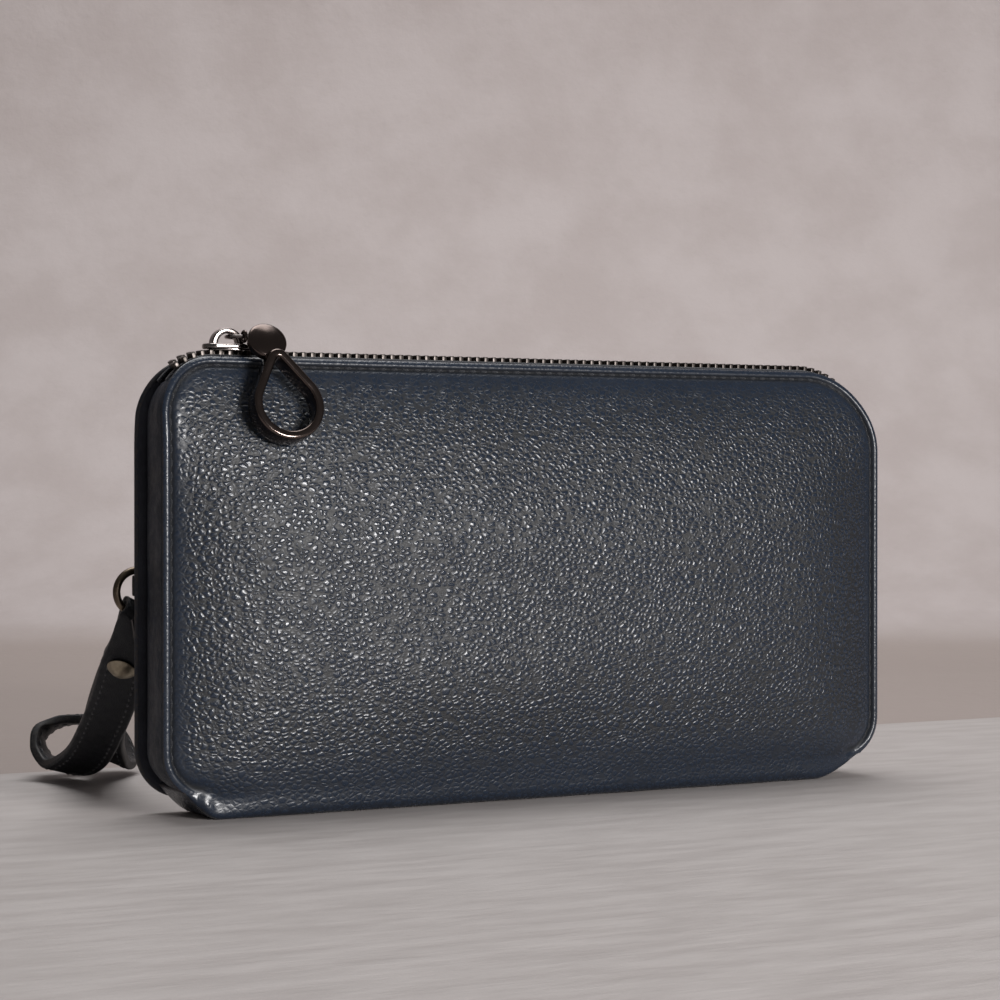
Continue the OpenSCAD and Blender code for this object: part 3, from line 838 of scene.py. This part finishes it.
def make_gusset(side, name, node_name):
    """Folded leather end wall, deepest along the back seam; its top slopes down to the back."""

    def wall(b, share):
        path, length = outline_path(side, ease(GUSSET_FOLD, b), 45 - 14 * b)
        x, z = path(length * share)
        wave = noise.noise(Vector((b * 3, z * 0.06, 7.0 + side))) * 0.22
        x -= (0.25 + wave) * math.sin(math.pi * b) * smooth((z - 10) / 20)
        return side * x, (edge_depth(z) - 1.35) * (2 * b - 1), z

    sheet = thick_sheet(name, plane(84, 24, wall), 1.0, [gusset_leather, edge_paint, suede], (side, 0, 0))
    finish_piece(sheet, None, (node_name,))
    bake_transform(sheet)


# ---------------------------------------------------------------- main zip


def zip_frame(t):
    """Point on the zip at distance t from its middle, its direction and the way out."""
    sign, r, corner = (1, ZIP_R, ZIP_CX) if t >= 0 else (-1, ZIP_LEFT_R, ZIP_LEFT_CX)
    angle = max(0.0, abs(t) - corner) / r
    out = Vector((sign * math.sin(angle), 0, math.cos(angle)))
    centre = Vector((sign * min(abs(t), corner), 0, ZIP_Z - r))
    return centre + out * r, Vector((out.z, 0, -out.x)), out


ZIP_LEFT = ZIP_LEFT_CX + ZIP_LEFT_SWEEP * ZIP_LEFT_R
ZIP_RIGHT = ZIP_CX + ZIP_SWEEP * ZIP_R


def parting(t):
    """How far each row stands off the middle where the zip opens past the slider."""
    return 1.1 * smooth((SLIDER_X - 3 - t) / 8)


def make_tape(side, name, node_name, body):
    """Woven tape: flat by the teeth, then turned down inside the wallet."""
    profile = [(1.5, -0.05), (2.3, 0.0), (2.9, -0.1), (3.25, -0.55), (3.3, -1.4), (3.25, -3.5), (3.2, -6.3)]
    rows = []
    for t in np.linspace(-ZIP_LEFT, ZIP_RIGHT, 161):
        p, _, out = zip_frame(t)
        pushes = parting(t) * 0.5 * np.linspace(1, 0, len(profile))
        rows.append([p + out * r + Vector((0, side * (y + push), 0)) for (y, r), push in zip(profile, pushes)])
    made = thick_sheet(name, rows, 0.5, [zip_cloth] * 3, (0, side * 0.3, 1))
    finish_piece(made, body, (node_name,))


def make_teeth(side, shift, name, node_name, body):
    """One row of cast teeth, each with its head over the middle line."""
    places = []
    for i in range(-int(ZIP_LEFT / TOOTH_PITCH - 0.5), int(ZIP_RIGHT / TOOTH_PITCH - 0.5)):
        t = (i + shift) * TOOTH_PITCH
        p, along, out = zip_frame(t)
        y = side * (0.8 + parting(t))
        turn = np.array([along, Vector((0, 1, 0)), out]).T
        places.append((list(p + Vector((0, y, 0)) + out * 0.15), turn))
    made = stamp(name, box_shape(1.1, 3.0, 1.9, 0.2), places, zip_metal)
    finish_piece(made, body, (node_name,))


# ---------------------------------------------------------------- slider and pull


def join(name, pieces):
    """Joins several of this script's meshes into one piece."""
    with bpy.context.temp_override(
        active_object=pieces[0], object=pieces[0], selected_objects=pieces, selected_editable_objects=pieces
    ):
        bpy.ops.object.join()
    pieces[0].name = name
    return pieces[0]


def prism(name, outline, bottom, top, mat, bevel=0.3):
    """An outline in X and Y raised from bottom to top, with rounded edges."""
    work = bmesh.new()
    base = [work.verts.new((x, y, bottom)) for x, y in outline]
    work.faces.new(base)
    raised = bmesh.ops.extrude_face_region(work, geom=work.faces[:])
    bmesh.ops.translate(
        work, vec=(0, 0, top - bottom), verts=[v for v in raised["geom"] if isinstance(v, bmesh.types.BMVert)]
    )
    bmesh.ops.recalc_face_normals(work, faces=work.faces)
    sharp = [e for e in work.edges if e.is_manifold and e.calc_face_angle() > 0.6]
    bmesh.ops.bevel(work, geom=sharp, offset=bevel, segments=3, affect="EDGES", profile=0.5)
    return add_mesh(name, *take_shape(work), mat)


def bridge(name, foot, r, section, steps, mat):
    """Half ring along X over foot; section(angle) gives its cross section."""
    rings = []
    for k in range(steps + 1):
        angle = math.pi * k / steps
        radial = Vector((-math.cos(angle), 0, math.sin(angle)))
        rings.append(ring_at(foot + radial * r, Vector((0, 1, 0)), radial, section(angle)))
    return sweep(name, rings, mat)


def make_slider():
    """Plate with a rounded nose and shaped waist, side lips, and the bridge that carries the link."""
    waist = arc(SLIDER_X - 3.4, 0.0, 2.3, 3.0, 90, 180, 12)
    waist += [(SLIDER_X + 0.5, -3.4), (SLIDER_X + 3.0, -3.8), (SLIDER_X + 5.1, -3.8), (SLIDER_X + 5.7, -3.2)]
    waist += [(x, -y) for x, y in reversed(waist[-4:])]
    plate = prism("plate", waist, PLATE_Z, PLATE_Z + 1.25, gunmetal, 0.38)
    parts = [plate]
    for side in (-1, 1):
        lip = [(SLIDER_X - 3.5, side * 2.2), (SLIDER_X + 5.4, side * 3.0), (SLIDER_X + 5.4, side * 3.75),
               (SLIDER_X - 1.0, side * 3.1)]
        parts.append(prism("lip", lip, PLATE_Z - 0.33, PLATE_Z + 0.25, gunmetal, 0.12))
    foot = Vector((SLIDER_X, 0, high("slider", 2) - 3.8))
    section = lambda a: rounded(1.3, 0.62 + 0.1 * math.cos(a) ** 2, 0.34)
    parts.append(bridge("bridge", foot, 3.18, section, 32, gunmetal))
    finish_piece(join("zip_slider", parts), "slider", ("slider",))


def make_link():
    """Round ring between the slider's bridge and the pull."""
    centre = Vector((SLIDER_X + 3.2, 0, LINK_Z))
    path = [centre + Vector((x, y, 0)) for x, y in circle(3, 48)]
    made = wire("pull_ring", path, 0.42, gunmetal, closed=True, sides=14, up=(0, 0, 1))
    finish_piece(made, "link", ("pull_link",))


def make_cap():
    """Domed cap with a stepped back, and the eye that hangs on the link."""
    face = Vector((SLIDER_X + 6.7, -8.2, 108.7))
    turn = Euler((math.radians(58.5), 0, math.radians(-3)), "XYZ").to_matrix()
    axis = turn @ Vector((0, 0, 1))
    dome = [(r, -14.2 + math.sqrt(15.4**2 - r * r)) for r in (0.4, 1.2, 2.0, 2.8, 3.5, 4.0)]
    rim = [(4.3, 0.55), (4.5, 0.42), (4.6, 0.15), (4.6, -0.9), (4.52, -1.25), (4.3, -1.45), (3.9, -1.55), (3.2, -1.6),
           (3.0, -1.62), (0.8, -1.62)]
    cap = lathe("cap", dome + rim, face, axis, dark_metal, 96)
    eye = Vector((SLIDER_X + 3.2, -3, LINK_Z))
    path = [eye + Vector((0, y, z)) for y, z in circle(1.15, 32)]
    ring = wire("eye", path, 0.4, dark_metal, closed=True, sides=12, up=(1, 0, 0))
    start, end = eye + Vector((0.2, -1.25, 0)), face + Vector((-1.4, 1.9, -0.6))
    stem = wire("stem", [start.lerp(end, k / 6) for k in range(7)], 0.62, dark_metal, sides=16, up=(0, 0, 1))
    finish_piece(join("pull_dome", [cap, ring, stem]), "pull", ("pull_cap",))


def make_loop():
    """Teardrop loop: a flat bar bent round, with softened edges."""
    origin = Vector((SLIDER_X + 7.4, -10.6, 104.4))
    turn = Euler((math.radians(-18), math.radians(-6.5), 0), "XYZ").to_matrix()
    top_z, top_radius, low_z, low_radius = -0.9, 1.6, -11.7, 7.4
    lean = math.asin((low_radius - top_radius) / (top_z - low_z))  # slope of the straight sides

    def bend(z, r, start, turned, steps):
        """Points with their outward directions round one end."""
        angles = [start + turned * k / steps for k in range(steps + 1)]
        return [(r * math.cos(a), z + r * math.sin(a), math.cos(a), math.sin(a)) for a in angles]

    def straight(a, b):
        """Points between two ends, without the ends."""
        return [(a[0] + (b[0] - a[0]) * k / 8, a[1] + (b[1] - a[1]) * k / 8) for k in range(1, 8)]

    top = bend(top_z, top_radius, lean, math.pi - 2 * lean, 14)
    low_bend = bend(low_z, low_radius, math.pi - lean, math.pi + 2 * lean, 60)
    path = top + [(x, z, *top[-1][2:]) for x, z in straight(top[-1], low_bend[0])]
    path += low_bend + [(x, z, *low_bend[-1][2:]) for x, z in straight(low_bend[-1], top[0])]
    section = [(y - 0.3, n) for y, n in rounded(2.6, 1.0, 0.6, 0.12, 5)]
    rings = []
    for x, z, nx, nz in path:
        centre = origin + turn @ Vector((x, 0, z))
        rings.append(ring_at(centre, turn @ Vector((0, 1, 0)), turn @ Vector((nx, 0, nz)), section))
    made = sweep("pull_teardrop", rings, dark_metal, closed=True)
    finish_piece(made, "pull", ("pull_loop",))


# ---------------------------------------------------------------- ring, tab and strap


def make_ring():
    """D-shaped ring of round wire."""
    path = [(BAR.x, BAR.z + z) for z in np.linspace(-4.0, 4.0, 9)]
    path += [(BAR.x - 0.25, BAR.z + 4.7), (BAR.x - 0.75, BAR.z + 4.98)]
    path += arc(BAR.x - 1.2, BAR.z, 5, 5, 90, 180, 32)
    path += [(BAR.x - 0.75, BAR.z - 4.98), (BAR.x - 0.25, BAR.z - 4.7)]
    made = wire("strap_ring", [(x, BAR.y, z) for x, z in path], WIRE_R, bronze, closed=True, up=(0, 1, 0))
    finish_piece(made, "ring", ("d_ring",))


def make_tab():
    """Folded leather tab round the ring's straight side, sewn to the back."""
    line = [(BAR.x + 16, 13.0), (BAR.x + 10, 12.75), (BAR.x + 5, 12.2), (BAR.x + 2, 11.8)]
    line += arc(BAR.x, BAR.y, 1.75, 1.75, -90, -180, 12)
    line += [(BAR.x + 2, 15.15), (BAR.x + 4, 14.5), (BAR.x + 7, 14.0), (BAR.x + 11, 14.1), (BAR.x + 16, 14.25)]
    base_z, tall = low("ring_tab", 2), high("ring_tab", 2) - low("ring_tab", 2)
    section = rounded(tall / 2, 0.52, 0.3, 0.05)
    rings = []
    for i, (x, y) in enumerate(line):
        x0, y0 = line[max(0, i - 1)]
        x1, y1 = line[min(len(line) - 1, i + 1)]
        out = Vector((y1 - y0, x0 - x1, 0)).normalized()
        rings.append(ring_at(Vector((x, y, base_z + tall / 2)), Vector((0, 0, 1)), out, section))
    made = sweep("ring_tab_leather", rings, strap_leather)
    finish_piece(made, "shell", ("ring_tab",))
    box = [(x, z) for x, z in ((6.5, 0.9), (15.0, 0.9), (15.0, tall - 0.9), (6.5, tall - 0.9), (6.5, 0.9))]
    path = []
    for (x0, z0), (x1, z1) in zip(box, box[1:]):
        path += [(BAR.x + x0 + (x1 - x0) * k / 12, 14.62, base_z + z0 + (z1 - z0) * k / 12) for k in range(13)]
    finish_piece(stitches("tab_stitches", path, lambda p: (0, 1, 0), pitch=2.2, length=1.6, r=0.24), "shell")


def strap_line():
    """Dense closed list of strap rows: centre, width direction, share of width, in millimetres."""
    rows = [(Vector(c), Vector(w), s) for c, w, s in STRAP_ROWS]
    for angle in range(90, -91, -30):
        a = math.radians(angle)
        offset = math.sin(a) * WRAP_STACK - math.cos(a) * WRAP_PULL
        rows.append((WRAP_AT + WRAP_R * offset, WRAP_ACROSS, WRAP_SHARE))
    n, dense = len(rows), []
    for i in range(n):
        four = [rows[(i + k) % n] for k in (-1, 0, 1, 2)]
        for step in range(8):
            t = step / 8
            weights = (
                -0.5 * t + t * t - 0.5 * t**3,
                1 - 2.5 * t * t + 1.5 * t**3,
                0.5 * t + 2 * t * t - 1.5 * t**3,
                -0.5 * t * t + 0.5 * t**3,
            )
            centre = sum((r[0] * w for r, w in zip(four, weights)), Vector())
            wide = sum((r[1] * w for r, w in zip(four, weights)), Vector())
            dense.append((centre, wide, four[1][2] * (1 - t) + four[2][2] * t))
    return dense


def strap_frames(dense):
    """(centre, across, out, half width, half thickness) of each dense row."""
    n, made = len(dense), []
    for i, (centre, wide, share) in enumerate(dense):
        along = (dense[(i + 1) % n][0] - dense[i - 1][0]).normalized()
        across = (wide - wide.dot(along) * along).normalized()
        made.append((centre, across, across.cross(along), STRAP_W * share / 2, STRAP_T * (0.3 + 0.7 * share) / 2))
    return made


def make_strap():
    """Wrist strap: a closed band of two sewn layers, turned round the ring and held by a rivet."""
    frames = strap_frames(strap_line())
    rings = []
    for centre, across, out, half, thick in frames:
        rings.append(ring_at(centre, across, out, rounded(half, thick, thick * 0.55, 0.06, 4)))
    painted = (0, 1, 2, 3, 9, 10, 11, 12, 13, len(rings[0]) - 1)  # sides of the section that are cut edges
    sides = [int(k in painted) for k in range(len(rings[0]))]
    made = sweep("strap_leather", rings, [strap_leather, strap_edge], True, sides)
    finish_piece(made, "strap", ("wrist_strap",))
    wide = [f for f in frames if f[3] > STRAP_W * 0.46]
    for face in (-1, 1):
        for edge in (-1, 1):
            table = [(c + a * edge * (h - STRAP_SEAM_IN) + o * face * t, o * face) for c, a, o, h, t in wide]

            def outward(p):
                return min(table, key=lambda row: (row[0] - p).length_squared)[1]

            name = "strap_stitches_" + ("in" if face < 0 else "out") + ("_a" if edge < 0 else "_b")
            path = [point for point, _ in table]
            rows = stitches(name, path, outward, pitch=2.6, length=1.95, r=0.26, lift=-0.02)
            finish_piece(rows, "strap")


def make_rivet():
    """Domed antique rivet through both strap layers, and its flat back."""
    axis = RIVET_OUT.normalized()
    dome = [(r, 0.55 + math.sqrt(16 - r * r)) for r in (0.3, 1.0, 1.7, 2.3, 2.8, 3.15)]
    rim = [(3.4, 2.85), (3.5, 2.75), (3.5, 2.68), (3.42, 2.6), (1.3, 2.6), (1.3, -2.35)]
    cap = lathe("rivet_dome", dome + rim, RIVET_AT, -axis, rivet_metal)
    finish_piece(cap, "strap", ("strap_rivet_cap",))
    flat = [(0.5, 3.45), (1.2, 3.42), (1.5, 3.6), (2.6, 3.58), (3.1, 3.45), (3.3, 3.2), (3.3, 2.75), (3.2, 2.6)]
    back = lathe("rivet_base", flat + [(0.6, 2.6)], RIVET_AT, axis, rivet_metal)
    finish_piece(back, "strap", ("strap_rivet_back",))


# ---------------------------------------------------------------- inside


def upright(name, x, y, z, materials, thickness):
    """A flat upright sheet from x[0] to x[1] and z[0] to z[1], its face at y."""
    rows = plane(16, 24, lambda u, v: (between(x, u), y, z[1] + (z[0] - z[1]) * v))
    return thick_sheet(name, rows, thickness, materials, (0, -1, 0))


def make_card_slots():
    """Two columns of four card slots on the back wall, each stitched along its top."""
    for letter in "ab":
        for k in (1, 2, 3, 4):
            cad = f"card_slot_{letter}{k}"
            x = (low(cad, 0) + 0.1, high(cad, 0) - 0.1)
            y, z = low(cad, 1), (low(cad, 2), high(cad, 2))
            made = upright(f"slot_{letter}{k}", x, y + 0.02, z, [slot_leather, edge_paint, suede], 0.56)
            finish_piece(made, "shell", (cad,))
            line = [(between((x[0] + 1.6, x[1] - 1.6), i / 40), y, z[1] - 1.8) for i in range(41)]
            rows = stitches(f"slot_stitches_{letter}{k}", line, lambda p: (0, -1, 0), pitch=2.4, length=1.8, r=0.13)
            finish_piece(rows, "shell")


def shaped_lining(name, y, cad, body, inner):
    """Lining cloth cut to the panel's shape, with light ripples."""

    def at(u, v):
        z = between((low(cad, 2), high(cad, 2)), 1 - v)
        x = (92.4 - 7.4 * clamp((18 - z) / 11) - 2.4 * clamp((z - 84) / 6)) * (2 * u - 1)
        return x, y + 0.05 * noise.noise(Vector((x * 0.08, z * 0.05, 11.0))) * inner, z

    made = thick_sheet(name, plane(40, 60, at), 0.42, [lining] * 3, (0, inner, 0))
    finish_piece(made, body, (cad,))
    return made


def make_linings():
    """Lining cloth of the front, the back and the bottom."""
    made = shaped_lining("lining_front", high("front_lining", 1) - 0.05, "front_lining", "front", 1)
    made = shaped_lining("lining_back", low("back_lining", 1) + 0.05, "back_lining", "shell", -1)
    x, z = high("bottom_lining", 0), high("bottom_lining", 2)
    y = (low("bottom_lining", 1), high("bottom_lining", 1))
    rows = plane(8, 60, lambda u, v: (x * (2 * u - 1), between(y, v), z - 0.03))
    made = thick_sheet("lining_bottom", rows, 0.42, [lining] * 3, (0, 0, 1))
    finish_piece(made, "shell", ("bottom_lining",))


def make_padding():
    """Foam pad that fills the front, crowned like the leather over it, and the stiff board in the back."""
    z_span = (low("front_foam", 2) + 1, high("front_foam", 2) - 1)

    def crowned(u, v):
        x, z = PAD_HALF_W * (2 * u - 1), between(z_span, 1 - v)
        edge = min(1.0, (1 - abs(2 * u - 1)) * 10, v * 12, (1 - v) * 12)
        skin = FRONT.depth(x, z) - LEATHER - 0.7
        soft = PAD_FLAT_Y + 0.1 + max(0.5, skin - PAD_FLAT_Y - 0.1) * math.sqrt(max(0.0, 1 - (1 - edge) ** 2))
        return x, -min(soft, skin), z

    front = plane(30, 60, crowned)
    back = [[(x, -PAD_FLAT_Y, z) for x, _, z in row] for row in front]
    rows, cols = 31, 61
    count = rows * cols
    faces = quads(rows, cols) + quads(rows, cols, count)
    border = [r * cols + c for r, c in grid_border(rows, cols)]
    for a, b in zip(border, border[1:] + border[:1]):
        faces.append((a, b, count + b, count + a))
    made = add_mesh("foam_pad", [p for row in front + back for p in row], faces, foam)
    finish_piece(made, "front", ("front_foam",))
    outline = [(-91, 17), (-84, 7), (84, 7), (91, 17), (91, 83), (-91, 83)]
    plate = prism("stiffener", outline, 7.3, 7.9, board, 0.15)
    for v in plate.data.vertices:
        v.co = (v.co.x, v.co.z, v.co.y)
    plate.data.flip_normals()
    finish_piece(plate, "shell", ("back_board",))


def make_coin_pocket():
    """Cloth pocket with a zip along its top: two walls, folded ends, tape and teeth; its slider and tab come from
    make_coin_zip_pull.
    """
    x = (low("coin_front", 0), high("coin_front", 0))
    z = (low("coin_front", 2), COIN_H)
    cloth = [lining] * 3
    y_front, y_back = low("coin_front", 1), high("coin_back", 1)
    inner_x, deep = (x[0] + 0.3, x[1] - 0.3), (y_front + 0.3, 3.2)
    walls = [upright("pocket_front", (x[0] + 0.4, x[1] - 0.4), y_front + 0.05, z, cloth, 0.45)]
    for side, edge in ((-1, x[0] + 0.05), (1, x[1] - 0.05)):
        rows = plane(16, 8, lambda u, v: (edge, between(deep, u), between(z, 1 - v)))
        walls.append(thick_sheet("pocket_end", rows, 0.45, cloth, (side, 0, 0)))
    rows = plane(4, 30, lambda u, v: (between(inner_x, u), between(deep, v), z[0] + 0.05))
    walls.append(thick_sheet("pocket_floor", rows, 0.45, cloth, (0, 0, -1)))
    finish_piece(join("pocket_front", walls), "shell", ("coin_front",))
    rows = plane(16, 30, lambda u, v: (between(inner_x, u), y_back - 0.03, between(z, 1 - v)))
    back = thick_sheet("pocket_back", rows, 0.42, cloth, (0, 1, 0))
    finish_piece(back, "shell", ("coin_back",))
    for side, name in ((-1, "front"), (1, "back")):
        cad = f"coin_tape_{name}"
        y, top = (low(cad, 1), high(cad, 1)), high(cad, 2)
        rows = plane(4, 40, lambda u, v: (between(x, u), between(y, v), top - 0.02))
        made = thick_sheet(f"pocket_tape_{name}", rows, 0.42, [zip_cloth] * 3, (0, 0, 1))
        finish_piece(made, "shell", (cad,))
        edge_y = y[0] + 0.7 if side < 0 else y[1] - 0.7
        line = [(between((x[0] + 1, x[1] - 1), k / 60), edge_y, top) for k in range(61)]
        sewn = stitches(f"pocket_stitches_{name}", line, lambda p: (0, 0, 1), pitch=2.4, length=1.8, r=0.12)
        finish_piece(sewn, "shell")
        y_low = COIN_Y - 1 if side < 0 else COIN_Y - 0.2
        shift = 0.25 if side < 0 else 0.75
        places = [(((i + shift) * COIN_PITCH, y_low + 0.6, COIN_H + 0.55), np.eye(3)) for i in range(-31, 31)]
        teeth = stamp(f"pocket_teeth_{name}", box_shape(0.95, 1.3, 1.15, 0.18), places, bronze)
        finish_piece(teeth, "shell", (f"coin_teeth_{name}",))


def make_coin_zip_pull():
    """Small slider with a bridge, and the flat tab that turns on it."""
    at = COIN_SLIDER_X
    outline = arc(at - 3.0, COIN_Y, 1.5, 1.9, 90, 180, 8)
    outline += [(at + 2.5, COIN_Y - 2.2), (at + 4.3, COIN_Y - 2.1), (at + 4.3, COIN_Y + 2.1), (at + 2.5, COIN_Y + 2.2)]
    plate = prism("coin_plate", outline, COIN_H + 1.42, COIN_H + 2.3, bronze, 0.22)
    foot = Vector((at, COIN_Y, COIN_H + 2.1))
    arch = bridge("coin_bridge", foot, 2.2, lambda a: rounded(0.68, 0.38, 0.22), 24, bronze)
    finish_piece(join("pocket_slider", [plate, arch]), "coin_slider", ("coin_slider",))
    z = COIN_H + 3.2
    parts = []
    for side in (-1, 1):
        arm = [(at - 6.0, COIN_Y + side * 1.0), (at + 0.4, COIN_Y + side * 1.05), (at + 0.4, COIN_Y + side * 1.85),
               (at - 6.0, COIN_Y + side * 1.9)]
        parts.append(prism("arm", arm, z - 0.4, z + 0.4, bronze, 0.15))
    parts.append(wire("pin", [(at, COIN_Y + y, z) for y in (-1.8, -0.6, 0.6, 1.8)], 0.4, bronze, up=(0, 0, 1)))
    tab = arc(at - 11.6, COIN_Y, 1.9, 2.0, 90, 180, 12)
    tab += [(at - 5.4, COIN_Y - 1.95), (at - 5.0, COIN_Y - 1.5), (at - 5.0, COIN_Y + 1.5), (at - 5.4, COIN_Y + 1.95)]
    parts.append(prism("tab", tab, z - 0.4, z + 0.4, bronze, 0.18))
    finish_piece(join("pocket_pull", parts), "coin_pull", ("coin_pull",))


# ---------------------------------------------------------------- set


BACKWARD = (0.479, 0.878, 0.0)  # level direction away from the camera
TABLE_HALF_W = 2500
TABLE_EDGE_Y = 102
BACKDROP_Z = -6
CURVE_AT, CURVE_R = 520, 420  # where the backdrop starts to rise, and its curve


def make_stage():
    """Plain pale table top with its far edge behind the wallet, and a pale backdrop that sweeps up."""
    mat, tree, shader = material("table_top", Specular_IOR_Level=0.25)
    where = scenery_place(tree)
    stretched = node(tree, "ShaderNodeVectorMath", {0: where, 1: (0.25, 1.0, 1.0)}, operation="MULTIPLY").outputs[0]
    streak = noise_of(tree, stretched, 7.0, 6.0, 0.6)
    cloud = noise_of(tree, where, 120.0, 3.0)
    base = mix(tree, ramp(tree, streak, 0.3, 0.7), (0.385, 0.355, 0.345, 1), (0.46, 0.43, 0.42, 1))
    base = mix(tree, ramp(tree, cloud, 0.3, 0.7, 0.0, 0.25), base, (0.47, 0.44, 0.43, 1))
    bump(tree, shader, streak, 0.35)
    shade(tree, shader, base, ramp(tree, streak, 0.3, 0.7, 0.65, 0.8))
    edge = [(-TABLE_HALF_W, TABLE_EDGE_Y, 0), (TABLE_HALF_W, TABLE_EDGE_Y, 0)]
    points = [(-TABLE_HALF_W, -TABLE_HALF_W, 0), (TABLE_HALF_W, -TABLE_HALF_W, 0), edge[1], edge[0]]
    table = add_mesh("table_top", points, [(0, 1, 2, 3)], mat)
    mat, tree, shader = material("backdrop", Specular_IOR_Level=0.15)
    where = scenery_place(tree)
    mottle = noise_of(tree, where, 55.0, 5.0, 0.6)
    base = mix(tree, ramp(tree, mottle, 0.3, 0.7), (0.43, 0.38, 0.37, 1), (0.485, 0.437, 0.43, 1))
    away = node(tree, "ShaderNodeVectorMath", {0: where, 1: BACKWARD}, operation="DOT_PRODUCT").outputs["Value"]
    # painted shade: the flat part of the backdrop, before its curve rises, is darker
    base = mix(tree, ramp(tree, away, 575.0, 640.0), (0.36, 0.31, 0.29, 1), base)
    bump(tree, shader, noise_of(tree, where, 6.0, 5.0), 0.4)
    shade(tree, shader, base, ramp(tree, mottle, 0.3, 0.7, 0.8, 0.9))
    rows = []
    profile = [(-60, BACKDROP_Z), (300, BACKDROP_Z)]
    profile += arc(CURVE_AT, BACKDROP_Z + CURVE_R, CURVE_R, CURVE_R, -90, 90, 24)
    profile.append((CURVE_AT + CURVE_R, 3000))
    for back, z in profile:
        middle = Vector(BACKWARD) * back
        rows.append([middle + Vector((BACKWARD[1], -BACKWARD[0], 0)) * side + Vector((0, 0, z))
                     for side in (-3000, -1500, 0, 1500, 3000)])
    cloth = add_mesh("backdrop", [p for row in rows for p in row], quads(len(rows), 5), mat)


def area_light(name, at, aim, size, power, color=(1, 1, 1)):
    data = bpy.data.lights.new(name, "AREA")
    data.shape = "RECTANGLE"
    data.size, data.size_y = size
    data.energy = power
    data.color = color
    light = bpy.data.objects.new(name, data)
    bpy.context.scene.collection.objects.link(light)
    light.location = at
    light.rotation_euler = (Vector(aim) - Vector(at)).to_track_quat("-Z", "Y").to_euler()


def make_lights():
    """Low key light from the front right, a soft one overhead and one for the backdrop."""
    aim = (0, 0, 0.05)
    area_light("key", (0.19, -1.2, 0.27), aim, (0.36, 0.32), 16, (1.0, 0.98, 0.97))
    area_light("top", (0.1, 0.3, 1.4), aim, (1.0, 0.8), 9)
    area_light("wall", (0.25, 0.45, 1.3), (0.3, 0.6, 0.0), (0.9, 0.9), 5)
    world = bpy.data.worlds.new("studio")
    world.use_nodes = True
    world.node_tree.nodes["Background"].inputs["Color"].default_value = (0.62, 0.6, 0.6, 1)
    world.node_tree.nodes["Background"].inputs["Strength"].default_value = 0.18
    bpy.context.scene.world = world


make_front_hide()
make_back()
make_seams()
make_gusset(-1, "gusset_left", "left_gusset")
make_gusset(1, "gusset_right", "right_gusset")
make_tape(-1, "zip_tape_front", "front_zip_tape", "front")
make_tape(1, "zip_tape_back", "back_zip_tape", "shell")
make_teeth(-1, 0.25, "zip_teeth_front", "front_zip_teeth", "front")
make_teeth(1, 0.75, "zip_teeth_back", "back_zip_teeth", "shell")
make_slider()
make_link()
make_cap()
make_loop()
make_ring()
make_tab()
make_strap()
make_rivet()
make_card_slots()
make_linings()
make_padding()
make_coin_pocket()
make_coin_zip_pull()
make_stage()
make_lights()

bpy.context.scene.view_settings.view_transform = "Standard"
